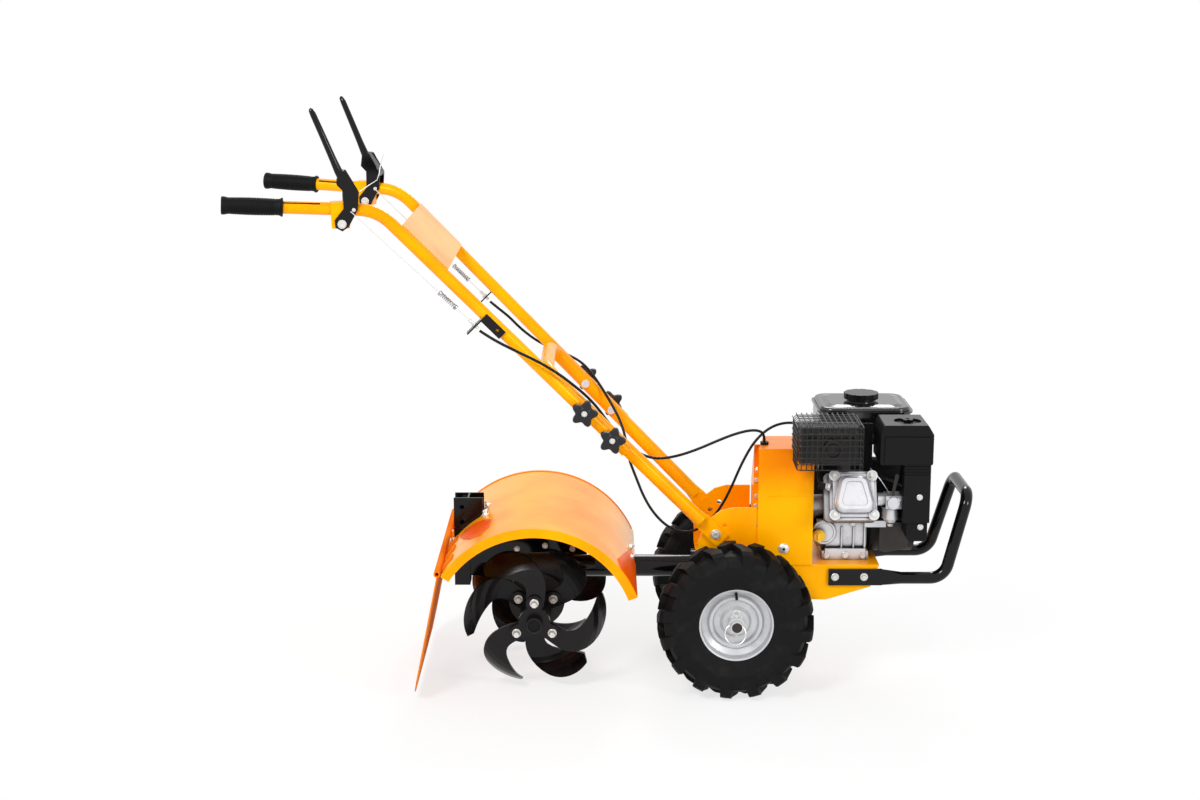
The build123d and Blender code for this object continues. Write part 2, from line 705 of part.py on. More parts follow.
def cover_outline(distance, grow=0.0, corner=14.0):
    """Outline of the valve cover's dome, narrower towards the top."""
    top, bottom, low_half, high_half = 23.0, -55.0, 41.0, 29.0
    points = [(-low_half + 5 - grow, bottom - grow), (low_half - 5 + grow, bottom - grow),
              (low_half + grow, -34), (high_half + grow, top + grow),
              (-high_half - grow, top + grow), (-low_half - grow, -34)]
    face = make_face(Polyline(*points, close=True))
    return slope_plane(distance, 0, cover_x) * fillet(face.vertices(), corner)


def build_valve_cover():
    flange = slope_block(192.2, 198.2, 88, 92, 12, cover_x, cover_lift)
    for x, lift in cover_bolts:
        flange += slope_block(192.2, 200, 23, 23, 11, cover_x + x, lift)
    dome = loft([cover_outline(198), cover_outline(212, -2), cover_outline(216, -6, 12)])
    recess = extrude(cover_outline(214.4, -13, 9), amount=4)
    save("valve_cover", flange + dome - recess)


def build_engine():
    foot = box(196, 296, -64, 126, deck_top + 0.2, deck_top + 20)
    foot += box(202, 290, -67, -60, deck_top + 0.2, deck_top + 26)
    case = box(204, 292, -58, 112, deck_top + 18, 440)
    block = foot + fillet(case.edges().filter_by(Axis.X), 16)
    block += rod_x(crank_y, crank_z, cover_front + 1, 214, 46)
    block += rod_x(-26, 318, 186, 206, 30)
    block += slope_block(70, 150, 92, 92, 8, engine_x, barrel_lift)
    block += rod_y(187, 323, -69.7, 20, 12)
    block -= rod_y(187, 323, -90, -10, 8.3)
    block += box(284, 299, -86, -50, 346, 360) + box(290, 330, -86, -76, 346, 360)
    save("crankcase", block)
    fins = slope_block(150.2, 172, 84, 84, 6, engine_x, barrel_lift)
    for index in range(4):
        start = 152 + 6 * index
        fins += slope_block(start, start + 2.4, 112, 104, 10, engine_x, cover_lift)
    save("cylinder", fins)
    save("cylinder_head", slope_block(174.6, 192, 98, 104, 12, cover_x, cover_lift))
    build_valve_cover()
    plug = rod_y(187, 323, -70, -78, 13.5) + rod_y(187, 323, -78, -83, 11)
    plug += box(183.5, 190.5, -88, -83, 314, 332)
    save("oil_plug", plug + rod_y(187, 323, -30, -70, 8))


def build_fan_side():
    shroud = rod_x(crank_y, crank_z, 301, 398, 104)
    shroud -= box(290, 400, -100, 160, 200, deck_top + 6)
    save("fan_shroud", shroud)
    dish = rod_x(crank_y, crank_z, 398.2, 428, 84)
    dish = chamfer(dish.edges().filter_by(GeomType.CIRCLE).sort_by(Axis.X)[-1], 14)
    save("recoil_starter", dish)


def build_tank():
    seam, x, y = 578.0, 293.0, 82.0
    low = loft([Plane.XY.offset(508) * Pos(x, y) * RectangleRounded(188, 150, 26),
                Plane.XY.offset(530) * Pos(x, y) * RectangleRounded(198, 164, 30),
                Plane.XY.offset(seam) * Pos(x, y) * RectangleRounded(200, 168, 30)])
    rim_plate = extrude(Plane.XY.offset(seam) * Pos(x, y) * RectangleRounded(210, 178, 34), amount=4.6)
    high = extrude(Plane.XY.offset(seam + 4) * Pos(x, y) * RectangleRounded(198, 166, 30), amount=9)
    high = fillet(high.edges().group_by(Axis.Z)[-1], 6)
    crown = loft([Plane.XY.offset(seam + 12.5) * Pos(x, y) * RectangleRounded(176, 144, 26),
                  Plane.XY.offset(seam + 15.5) * Pos(x, y) * RectangleRounded(150, 118, 24)])
    neck = Location((290, 70, seam + 14)) * Cylinder(31, 6)
    save("fuel_tank", low + rim_plate + high + crown + neck)
    cap = Location((290, 70, 605.5)) * Cylinder(38, 13)
    for index in range(12):
        turn = radians(30 * index)
        cap -= Location((290 + 40.5 * cos(turn), 70 + 40.5 * sin(turn), 605)) * Cylinder(4.6, 20)
    cap = cap + Location((290, 70, 597.2)) * Cylinder(30, 3.8)
    save("fuel_cap", cap)
    support = box(206, 299, 20, 110, 440.3, 507.7)
    support += box(172, 208, 20, 34, 484, 490)
    support += Location((180, 27, 496)) * Cylinder(7, 14)
    save("tank_support", support - Location((180, 27, 500)) * Cylinder(cable_radius + 0.4, 60))


def build_silencer():
    body = box(131, 254, -178, -106, 507, 588)
    body = fillet(body.edges().filter_by(Axis.X), 14)
    for index in range(7):
        x = 142.5 + 15.4 * index
        body -= box(x, x + 10.5, -182, -174, 564, 568)
        body -= rod_between((x - 2.5, -179.5, 572), (x - 2.5, -171, 592), 2.4)
    outlet = rod_y(199, 541, -186, -176, 21) - rod_y(199, 541, -190, -181, 16)
    outlet += rod_y(199, 541, -184, -176, 12) - rod_y(199, 541, -190, -172, 9.5)
    pipe = rod_between((232, -121, 512), (232, -121, 462), 13)
    pipe -= slope_block(120, 230, 140, 104.6, 5, engine_x, cover_lift)
    save("silencer", body + outlet + pipe)


def wire_guard():
    """Wire basket over the silencer: hoops up and over, crossed by long wires."""
    x0, x1, near, far, low, high = 124.0, 262.0, -194.0, -70.0, 499.0, 596.0
    wire, pitch = 1.3, 12.6
    guard = None
    rows = int((x1 - x0) / pitch)
    for index in range(rows + 1):
        x = x0 + index * (x1 - x0) / rows
        hoop = bent_rod([(x, near, low), (x, near, high), (x, far, high)], [10.0], wire)
        guard = hoop if guard is None else guard + hoop
    heights = [low + 2, 512, 525, 538, 551, 566, 580]
    for z in heights:
        guard += rod_x(near - 1.2, z, x0 - 2, x1 + 2, wire)
        guard += rod_y(x0 - 1.2, z, near - 2, far + 2 if z > cover_top + 3 else -105, wire)
    for y in (-172, -152, -132, -112, -92, far + 1):
        guard += rod_x(y, high + 1.2, x0 - 2, x1 + 2, wire)
        guard += rod_between((x0, y, low if y < -104 else 538), (x0, y, high + 1), wire)
    return guard


def build_air_cleaner():
    outline = [(304, 500), (416, 500), (416, 566), (404, 586), (312, 586), (304, 566)]
    cover = side_outline(outline, -150, -42)
    cover = fillet(cover.edges().filter_by(Axis.Y), 4)
    cover += box(313, 411, -154, -148, 504, 561)
    cover -= Location((366, -103, 587)) * Cylinder(29, 12)
    knob = Location((366, -103, 583)) * Cylinder(6, 9)
    for index in range(5):
        turn = radians(72 * index + 20)
        knob += Location((366 + 9 * cos(turn), -103 + 9 * sin(turn), 587)) * Cylinder(5, 7)
    save("air_cleaner", cover + knob)
    duct = box(357, 413, -146, -84, 372, 499.8)
    for z in (478, 484, 490, 496):
        duct -= box(350, 420, -150, -144, z - 1.2, z + 1.2)
    duct += box(366, 410, -140, -84, 330, 373)
    save("air_duct", fillet(duct.edges().filter_by(Axis.Y).group_by(Axis.Z)[0], 10))
    body = box(322, 356.6, -128, -84, 398, 426)
    body += rod_y(338, 412, -134, -84, 13)
    bowl = Location((336, -106, 386)) * Cylinder(18.5, 26)
    bowl += Location((336, -106, 369)) * Cone(11, 17.5, 9)
    bowl += Location((336, -106, 363)) * Cylinder(5, 6)
    intake = rod_x(-106, 414, 306, 330, 14)
    save("carburettor", body + bowl + intake)


def build_bumper():
    """Bent tube with both ends pressed flat and bolted to the skirts."""
    y, tube_r = 107.0, 13.0
    flat_start, flat_end, round_start = 206.0, 322.0, 364.0
    low, high, front = 238.0, 419.0, front_reach - tube_r
    points = [(round_start, -y + 1, low), (456, -y + 1, low), (front, -88, high),
              (front, 88, high), (456, y - 1, low), (round_start, y - 1, low)]
    loop = bent_rod(points, [40.0, 34.0, 34.0, 40.0], tube_r)
    foot = box(flat_start, flat_end, -y, -y + 6.8, 221, 257)
    flat_plane = Plane(origin=(flat_end - 4, -y + 3.4, 239), x_dir=(0, 1, 0), z_dir=(1, 0, 0))
    round_plane = Plane(origin=(round_start, -y + 1, low), x_dir=(0, 1, 0), z_dir=(1, 0, 0))
    foot += loft([flat_plane * RectangleRounded(6.4, 35.6, 1), round_plane * Circle(tube_r)])
    for x in (220, 283):
        foot -= rod_y(x, 240, -120, -90, 5.25)
    save("bumper", loop + foot + other_side(foot))


build_wheels()
build_drive_line()
build_rotor()
build_hood()
build_rear_bracket()
build_flap()
build_frame()
build_handles()
build_knobs()
build_handle_panel()
build_levers()
build_cable_ends()
build_cables()
build_engine()
build_fan_side()
build_tank()
build_silencer()
save("silencer_guard", wire_guard())
build_air_cleaner()
build_bumper()
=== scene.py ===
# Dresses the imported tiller: finishes for the solids, plus the fine pieces around them.
# Sizes in the dictionaries are millimetres from the wheel axle; place() turns them into scene metres.
import math
import bmesh
import bpy
import numpy as np
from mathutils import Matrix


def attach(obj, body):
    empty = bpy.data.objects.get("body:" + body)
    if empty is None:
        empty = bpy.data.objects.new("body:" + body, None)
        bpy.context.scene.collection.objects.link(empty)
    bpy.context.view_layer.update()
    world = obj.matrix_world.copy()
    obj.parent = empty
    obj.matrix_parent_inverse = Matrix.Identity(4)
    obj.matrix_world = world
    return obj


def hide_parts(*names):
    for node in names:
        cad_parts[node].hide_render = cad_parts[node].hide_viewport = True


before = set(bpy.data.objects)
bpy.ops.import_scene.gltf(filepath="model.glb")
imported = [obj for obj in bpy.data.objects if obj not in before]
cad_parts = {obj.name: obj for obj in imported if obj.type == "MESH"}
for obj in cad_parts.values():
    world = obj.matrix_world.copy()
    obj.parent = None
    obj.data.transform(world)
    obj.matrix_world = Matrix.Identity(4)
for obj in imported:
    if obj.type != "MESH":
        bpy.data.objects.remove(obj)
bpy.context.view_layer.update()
print("frame loaded:", len(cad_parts), "nodes")

axleX = 263.75      # the axle stands this far ahead of the frame's own origin


def tone(r, g, b):
    # screen colour 0-255 to linear light
    out = []
    for c in (r, g, b):
        c = c / 255
        out.append(c / 12.92 if c <= 0.04045 else ((c + 0.055) / 1.055) ** 2.4)
    return (*out, 1.0)


class Wire:
    # one socket that takes ordinary arithmetic
    def __init__(self, tree, sock):
        self.tree, self.sock = tree, sock

    def node(self, kind, settings=None, sockets=None, out=0):
        made = self.tree.nodes.new(kind)
        for key, value in (settings or {}).items():
            setattr(made, key, value)
        for key, value in (sockets or {}).items():
            if isinstance(value, Wire):
                self.tree.links.new(value.sock, made.inputs[key])
            else:
                made.inputs[key].default_value = value
        return Wire(self.tree, made.outputs[out])

    def maths(self, operation, *values):
        return self.node("ShaderNodeMath", {"operation": operation}, dict(enumerate(values)))

    def __add__(self, other):
        return self.maths("ADD", self, other)

    def __mul__(self, other):
        return self.maths("MULTIPLY", self, other)

    def __sub__(self, other):
        return self.maths("SUBTRACT", self, other)

    def __rsub__(self, other):
        return self.maths("SUBTRACT", other, self)

    def __pow__(self, other):
        return self.maths("POWER", self, other)

    __radd__ = __add__
    __rmul__ = __mul__

    def part(self, axis):
        return self.node("ShaderNodeSeparateXYZ", None, {0: self}, "XYZ".index(axis))

    def between(self, low, high):
        # 0 below low, 1 above high, smooth between
        return self.node("ShaderNodeMapRange", {"interpolation_type": "SMOOTHSTEP"},
                         {"Value": self, "From Min": low, "From Max": high})

    def noise(self, scale, detail=3.0, roughness=0.5):
        return self.node("ShaderNodeTexNoise", None,
                         {"Vector": self, "Scale": scale, "Detail": detail, "Roughness": roughness})

    def blend(self, first, second):
        # self is the share of the second colour
        return self.node("ShaderNodeMix", {"data_type": "RGBA"}, {0: self, 6: first, 7: second}, 2)


finishes = {}


def startFinish(name, **fixed):
    # a new material: its shader with the fixed sockets set, and the object's own coordinates
    material = bpy.data.materials.new(name)
    material.use_nodes = True
    tree = material.node_tree
    shader = tree.nodes["Principled BSDF"]
    for key, value in fixed.items():
        shader.inputs[key.replace("_", " ")].default_value = value
    finishes[name] = material
    return shader, Wire(tree, tree.nodes.new("ShaderNodeTexCoord").outputs["Object"])


def layOn(shader, colour, rough=None, height=None, strength=0.1, distance=0.001):
    # joins the varying inputs: colour, roughness, and a height that goes through Bump
    links = shader.id_data.links
    links.new(colour.sock, shader.inputs["Base Color"])
    if rough is not None:
        links.new(rough.sock, shader.inputs["Roughness"])
    if height is not None:
        bump = height.node("ShaderNodeBump", None,
                           {"Strength": strength, "Distance": distance, "Height": height})
        links.new(bump.sock, shader.inputs["Normal"])


# how enamel wears: its orange-peel, and the heights in metres between which the ground's dust fades out
paintWear = {"peel": 0.05, "dustLow": 0.03, "dustTop": 0.16}


def paintFinish(name, main, deep, dust, gloss, shadeHeights=None, **fixed):
    # enamel: slow drift between two tones, dust that grows towards the ground, fine orange-peel;
    # shadeHeights gives two heights between which the deeper tone takes over as painted shade
    shader, spot = startFinish(name, Specular_Tint=(1.0, 0.78, 0.2, 1.0), **fixed)
    drift = spot.noise(6.0, 4.0).between(0.35, 0.68)
    if shadeHeights:
        # painted shade: the deeper tone takes over with height between the two given heights
        drift = drift * 0.3 + spot.part("Z").between(*shadeHeights) * 0.7
    speck = spot.noise(160.0, 3.0, 0.62).between(0.66, 0.74)
    low = 1 - spot.part("Z").between(paintWear["dustLow"], paintWear["dustTop"])
    dusty = (low * spot.noise(38.0, 5.0, 0.6).between(0.42, 0.66)) * 0.35 + speck * 0.06
    colour = dusty.blend(drift.blend(main, deep), dust)
    rough = gloss + drift * 0.06 + dusty * 0.4
    layOn(shader, colour, rough, height=spot.noise(900.0, 2.0) + speck * 0.4, strength=paintWear["peel"],
          distance=0.0004)


paintFinish("orangePaint", tone(255, 176, 0), tone(253, 152, 0), tone(216, 156, 80), 0.22,
            Specular_IOR_Level=0.3)
# belt cover paint: above 0.39 m it turns to the deeper tone as painted shade
paintFinish("coverPaint", tone(255, 178, 0), tone(250, 118, 0), tone(216, 156, 80), 0.24,
            shadeHeights=(0.39, 0.5), Specular_IOR_Level=0.25)
# shadedOrange: the orange paint darker and redder, painted shade for the hood's gussets and bead
paintFinish("shadedOrange", tone(240, 100, 0), tone(226, 80, 0), tone(190, 110, 60), 0.3,
            Specular_IOR_Level=0.2, IOR=1.2)
# shadedFlapPaint: orange paint darkened and dulled to the flap's tone in shade, painted shade; the hinge
# leaves share it
paintFinish("shadedFlapPaint", tone(244, 132, 30), tone(232, 112, 22), tone(206, 146, 96), 0.5,
            Specular_IOR_Level=0.1, IOR=1.08)


def blackFinish(name, main, worn, gloss, grain, grainStrength, **fixed):
    # black coat or moulded plastic: fine grain, faint grey rubs where the slow noise peaks
    shader, spot = startFinish(name, **fixed)
    slow = spot.noise(14.0, 5.0, 0.6)
    rub = slow.between(0.56, 0.78)
    fine = spot.noise(grain, 2.0, 0.5)
    colour = (rub * 0.5 + fine * 0.12).blend(main, worn)
    layOn(shader, colour, gloss + rub * 0.12 + fine * 0.05, height=fine + slow * 0.5,
          strength=grainStrength, distance=0.0004)


blackFinish("blackPaint", tone(9, 8, 9), tone(26, 25, 27), 0.07, 700.0, 0.03, Specular_IOR_Level=0.26)
blackFinish("blackSteel", tone(12, 9, 11), tone(44, 38, 42), 0.22, 420.0, 0.1, Specular_IOR_Level=0.24)
blackFinish("blackPlastic", tone(9, 9, 10), tone(24, 24, 26), 0.26, 1300.0, 0.16, Specular_IOR_Level=0.18)
blackFinish("matPlastic", tone(13, 13, 14), tone(32, 31, 32), 0.5, 1500.0, 0.3, Specular_IOR_Level=0.14)
blackFinish("gripRubber", tone(11, 11, 11), tone(30, 29, 28), 0.55, 1100.0, 0.25, Specular_IOR_Level=0.12)
blackFinish("knobPlastic", tone(26, 26, 30), tone(60, 60, 66), 0.34, 1200.0, 0.2, Specular_IOR_Level=0.3)
blackFinish("tankPaint", tone(16, 15, 16), tone(34, 33, 35), 0.12, 700.0, 0.03, Specular_IOR_Level=0.8)
blackFinish("smokedSteel", tone(38, 31, 27), tone(70, 62, 58), 0.3, 500.0, 0.1, Specular_IOR_Level=0.4)
blackFinish("cableSheath", tone(10, 10, 11), tone(28, 28, 30), 0.36, 1600.0, 0.08, Specular_IOR_Level=0.2)


def tyreFinish():
    # rubber: dark, with pale dust in slow blotches, mould-fine grain
    shader, spot = startFinish("tyreRubber", Specular_IOR_Level=0.14)
    slow = spot.noise(22.0, 5.0, 0.62)
    fine = spot.noise(1100.0, 2.0)
    dust = slow.between(0.5, 0.74) * 0.28
    colour = (dust + fine * 0.06).blend(tone(10, 10, 11), tone(52, 49, 46))
    layOn(shader, colour, 0.5 + slow * 0.22, height=fine * 0.7 + slow, strength=0.16, distance=0.0006)


def metalFinish(name, main, dull, gloss, grain, strength, metal, cornerShade=None):
    # bare or plated metal: cast or drawn grain, dull blotches that are also rougher;
    # cornerShade is the tone painted into the corners and hollows as shade
    shader, spot = startFinish(name, Metallic=metal)
    blotch = spot.noise(30.0, 5.0, 0.65).between(0.46, 0.72)
    fine = spot.noise(grain, 4.0, 0.6)
    colour = (blotch * 0.3 + fine * 0.25).blend(main, dull)
    if cornerShade:
        # painted shade: the Ambient Occlusion output darkens corners and hollows towards cornerShade
        openness = spot.node("ShaderNodeAmbientOcclusion", {"samples": 6}, {"Distance": 0.014}, 1)
        colour = openness.between(0.3, 0.92).blend(cornerShade, colour)
    layOn(shader, colour, gloss + blotch * 0.16 + fine * 0.08, height=fine, strength=strength,
          distance=0.0005)


tyreFinish()
metalFinish("rimSilver", tone(205, 206, 208), tone(150, 151, 154), 0.3, 260.0, 0.06, metal=0.55)
metalFinish("castAluminium", tone(220, 220, 224), tone(150, 149, 153), 0.3, 420.0, 0.5, metal=0.74,
            cornerShade=tone(52, 50, 54))
metalFinish("finAluminium", tone(186, 186, 190), tone(116, 115, 118), 0.3, 300.0, 0.3, metal=0.85,
            cornerShade=tone(30, 29, 31))
metalFinish("gearIron", tone(58, 57, 56), tone(30, 29, 28), 0.5, 240.0, 0.5, metal=0.5)
metalFinish("zincSteel", tone(228, 227, 224), tone(160, 156, 146), 0.26, 500.0, 0.1, metal=0.6)
metalFinish("burntSteel", tone(16, 14, 14), tone(46, 38, 34), 0.4, 300.0, 0.25, metal=0.3)
metalFinish("blackWire", tone(14, 13, 13), tone(44, 42, 40), 0.3, 600.0, 0.12, metal=0.3)
metalFinish("yellowPlastic", tone(236, 190, 22), tone(206, 156, 12), 0.35, 900.0, 0.1, metal=0.0)
print("finishes made:", len(finishes))

nodeFinish = {
    "orangePaint": "hood engine_base handle_plate_left handle_plate_right lower_handle "
                   "upper_handle_left upper_handle_right handle_panel lever_clamps",
    "shadedFlapPaint": "rear_flap flap_hinge",
    "coverPaint": "belt_cover",
    "blackPaint": "bumper lever_left lever_right rear_bracket drive_tube",
    "tankPaint": "fuel_tank",
    "blackSteel": "outer_tines_left outer_tines_right inner_tines_left inner_tines_right rotor_shaft "
                  "rotor_flanges_left rotor_flanges_right hood_stay cable_brackets tank_support",
    "tyreRubber": "tyre_left tyre_right",
    "rimSilver": "rim_left rim_right",
    "gearIron": "wheel_gearbox rotor_gearbox",
    "zincSteel": "axle wheel_pins hinge_pin knob_bolts cable_adjusters",
    "castAluminium": "crankcase cylinder_head valve_cover carburettor",
    "finAluminium": "cylinder",
    "blackPlastic": "air_cleaner star_knobs fuel_cap recoil_starter",
    "matPlastic": "air_duct fan_shroud cable_grommet",
    "gripRubber": "grip_left grip_right",
    "burntSteel": "silencer",
    "blackWire": "silencer_guard",
    "yellowPlastic": "oil_plug",
    "cableSheath": "clutch_cable throttle_cable",
}
for finish, names in nodeFinish.items():
    for name in names.split():
        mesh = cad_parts[name].data
        if not mesh.materials:
            mesh.materials.append(finishes[finish])
        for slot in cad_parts[name].material_slots:
            slot.material = finishes[finish]
print("solids dressed")

# the photograph's own viewpoint: metres, degrees from straight down, and millimetres of lens and sensor
camera = {"spot": (-0.02525, -4.053, 1.473), "tilt": 77.97, "lens": 57.0, "sensor": 36.0}

cameraData = bpy.data.cameras.new("photoCamera")
cameraData.lens = camera["lens"]
cameraData.sensor_width = camera["sensor"]
cameraObject = bpy.data.objects.new("photoCamera", cameraData)
cameraObject.location = camera["spot"]
cameraObject.rotation_euler = (math.radians(camera["tilt"]), 0, 0)
bpy.context.scene.collection.objects.link(cameraObject)
bpy.context.scene.camera = cameraObject
bpy.context.scene.view_settings.view_transform = "Standard"

lamps = {
    "keyLamp": {"spot": (-1.6, -2.8, 3.2), "aim": (0, 0, 0.5), "size": 1.0, "power": 90},
    "fillLamp": {"spot": (2.6, -2.6, 1.7), "aim": (0.2, 0, 0.5), "size": 0.9, "power": 46},
    "backLamp": {"spot": (0.6, 2.8, 3.0), "aim": (0, 0, 0.5), "size": 1.2, "power": 60},
}
for name, lamp in lamps.items():
    lampData = bpy.data.lights.new(name, "AREA")
    lampData.energy = lamp["power"]
    lampData.size = lamp["size"]
    lampObject = bpy.data.objects.new(name, lampData)
    lampObject.location = lamp["spot"]
    towards = np.array(lamp["aim"], float) - np.array(lamp["spot"], float)
    flat = math.hypot(towards[0], towards[1])
    heading = math.atan2(towards[1], towards[0])
    lampObject.rotation_euler = (math.atan2(flat, -towards[2]), 0, heading - math.pi / 2)
    bpy.context.scene.collection.objects.link(lampObject)

world = bpy.data.worlds.new("studio")
world.use_nodes = True
bpy.context.scene.world = world
skyTree = world.node_tree
sky = skyTree.nodes["Background"]
rays = skyTree.nodes.new("ShaderNodeLightPath").outputs
seen = Wire(skyTree, rays["Is Camera Ray"])
for kind in ("Is Glossy Ray", "Is Transmission Ray"):
    seen = seen.maths("MAXIMUM", seen, Wire(skyTree, rays[kind]))
sky.inputs["Color"].default_value = (1, 1, 1, 1)
skyTree.links.new((seen * 0.45 + 0.55).sock, sky.inputs["Strength"])      # 1 where it is seen, 0.55 as light


def floorFinish():
    # white sheet that takes the shadow near the object and turns into plain white light further out
    shader, spot = startFinish("paperFloor", Specular_IOR_Level=0.0, Roughness=1.0)
    layOn(shader, spot.noise(3.0).blend((0.95, 0.95, 0.95, 1), (0.93, 0.93, 0.93, 1)))
    tree = shader.id_data
    path = tree.nodes.new("ShaderNodeLightPath").outputs
    seen = spot.maths("MAXIMUM", Wire(tree, path["Is Camera Ray"]), Wire(tree, path["Is Glossy Ray"]))
    away = (spot.part("X") ** 2 * 0.8 + spot.part("Y") ** 2) ** 0.5
    white = spot.node("ShaderNodeEmission", None, {"Color": (1, 1, 1, 1), "Strength": 1.0})
    share = seen * (0.72 + away.between(0.35, 1.5) * 0.28)
    sheet = spot.node("ShaderNodeMixShader", None, {0: share, 1: Wire(tree, shader.outputs[0]), 2: white})
    tree.links.new(sheet.sock, tree.nodes["Material Output"].inputs["Surface"])


floorFinish()
floorMesh = bpy.data.meshes.new("floor")
floorMesh.from_pydata([(-14, -9, 0), (14, -9, 0), (14, 16, 0), (-14, 16, 0)], [], [(0, 1, 2, 3)])
floorMesh.materials.append(finishes["paperFloor"])
floorObject = bpy.data.objects.new("floor", floorMesh)
bpy.context.scene.collection.objects.link(floorObject)
print("camera, light and floor made")

cableRoutes = {
    "clutchCable": {
        "node": "clutch_cable", "radius": 3.0, "length": 0.79,
        "points": [(-537, -191, 796), (-518, -196, 784), (-491, -203, 770), (-454, -205, 752),
                   (-415, -204, 733), (-375, -196, 707), (-339, -179, 675), (-315, -151, 648),
                   (-293, -121, 617), (-272, -99, 582), (-243, -84, 545), (-215, -75, 514),
                   (-190, -68, 499), (-160, -61, 492), (-120, -54, 497), (-78, -52, 511), (-38, -52, 529),
                   (2, -54, 546), (38, -58, 556), (60, -60, 553), (66, -60, 540), (66, -60.2, 525)]},
    "throttleCable": {
        "node": "throttle_cable", "radius": 3.0, "length": 1.19,
        "points": [(-537, 191, 796), (-519, 195, 780), (-495, 199, 760), (-470, 202, 733),
                   (-435, 203, 705), (-397, 202, 686), (-361, 195, 673), (-331, 177, 660),
                   (-308, 151, 640), (-287, 121, 615), (-265, 92, 584), (-244, 66, 549), (-232, 45, 514),
                   (-227, 30, 474), (-209, 16, 430), (-192, 6, 388), (-168, 0, 350), (-136, -2, 320),
                   (-96, -2, 308), (-56, -2, 326), (-24, -2, 364), (0, -1, 412), (22, 2, 466),
                   (50, 8, 516), (86, 15, 547), (126, 21, 556), (162, 25, 547), (180, 27, 520),
                   (180, 27, 492)]},
}


def place(points):
    # millimetres from the wheel axle to scene metres
    return (np.asarray(points, float) + np.array([axleX, 0, 0])) * 0.001


def layCable(name, route):
    # the route's points are the control points of one smooth curve
    curve = bpy.data.curves.new(name, "CURVE")
    curve.dimensions = "3D"
    spots = place(route["points"])
    line = curve.splines.new("NURBS")
    line.points.add(len(spots) - 1)
    line.points.foreach_set("co", np.column_stack([spots, np.ones(len(spots))]).ravel())
    line.order_u = 3
    line.use_endpoint_u = True
    line.resolution_u = 8
    curve.bevel_depth = route["radius"] * 0.001
    curve.bevel_resolution = 5
    curve.use_fill_caps = True
    curve.materials.append(finishes["cableSheath"])
    cable = bpy.data.objects.new(name, curve)
    bpy.context.scene.collection.objects.link(cable)
    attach(cable, "machine")
    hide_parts(route["node"])
    return cable


for name, route in cableRoutes.items():
    cable = layCable(name, route)
print("cables laid")


# every skin is a grid of points (rows, columns, 3), closed across its columns

def crossAxes(axis):
    # two unit directions square to the axis
    axis = np.asarray(axis, float) / np.linalg.norm(axis)
    side = np.cross(axis, (0, 0, 1) if abs(axis[2]) < 0.9 else (1, 0, 0))
    side /= np.linalg.norm(side)
    return axis, side, np.cross(axis, side)


def spin(profile, centre, axis, count, lobes=0, depth=0.0):
    # surface turned about a line: centre + along * axis + radius * (cos t * side + sin t * up)
    # lobes cut the radius by depth * (1 + cos(lobes * t)) / 2 where the profile's third number asks for it
    axis, side, up = crossAxes(axis)
    profile = np.asarray(profile, float)
    turn = np.linspace(0, 2 * np.pi, count, endpoint=False)
    radius = np.repeat(profile[:, 1:2], count, 1)
    if lobes:
        radius = radius - profile[:, 2:3] * depth * (1 + np.cos(lobes * turn)) / 2
    ring = np.cos(turn)[:, None] * side + np.sin(turn)[:, None] * up
    return np.asarray(centre, float) + profile[:, 0, None, None] * axis + radius[:, :, None] * ring


def alongPath(path, outline, scale):
    # an outline (x, y) carried along a path: point = path + scale * (x * side + y * up),
    # the frame turning as little as it can
    path, outline = np.asarray(path, float), np.asarray(outline, float)
    run = np.gradient(path, axis=0)
    run /= np.linalg.norm(run, axis=1)[:, None]
    side = np.empty_like(run)
    side[0] = crossAxes(run[0])[1]
    for i in range(1, len(run)):
        step = side[i - 1] - run[i] * (side[i - 1] @ run[i])
        side[i] = step / np.linalg.norm(step)
    up = np.cross(run, side)
    scale = np.broadcast_to(np.asarray(scale, float), (len(path),))[:, None, None]
    return path[:, None] + scale * (outline[None, :, :1] * side[:, None] + outline[None, :, 1:] * up[:, None])


def tube(path, radius, count):
    # round rod along a path; the radius is one number or one for each point
    turn = np.linspace(0, 2 * np.pi, count, endpoint=False)
    return alongPath(path, np.column_stack([np.cos(turn), np.sin(turn)]), radius)


def arc(centre, radius, first, last, count, y):
    # points of a circle in an upright plane: x = centre + radius * cos angle, z = centre + radius * sin angle
    angle = np.radians(np.linspace(first, last, count))
    return np.column_stack([centre[0] + radius * np.cos(angle), np.full(count, float(y)),
                            centre[1] + radius * np.sin(angle)])


def pressed(outline, rows, y):
    # an upright (x, z) outline built up towards the near side in rows (inset, height):
    # point = (x, y - height, z), with (x, z) moved inwards by the inset
    outline, rows = np.asarray(outline, float), np.asarray(rows, float)
    edge = np.roll(outline, -1, 0) - np.roll(outline, 1, 0)
    inward = np.column_stack([-edge[:, 1], edge[:, 0]]) / np.linalg.norm(edge, axis=1)[:, None]
    flat = outline[None] + inward[None] * rows[:, 0, None, None]
    depth = np.broadcast_to(y - rows[:, 1, None, None], flat[..., :1].shape)
    return np.concatenate([flat[..., :1], depth, flat[..., 1:]], -1)


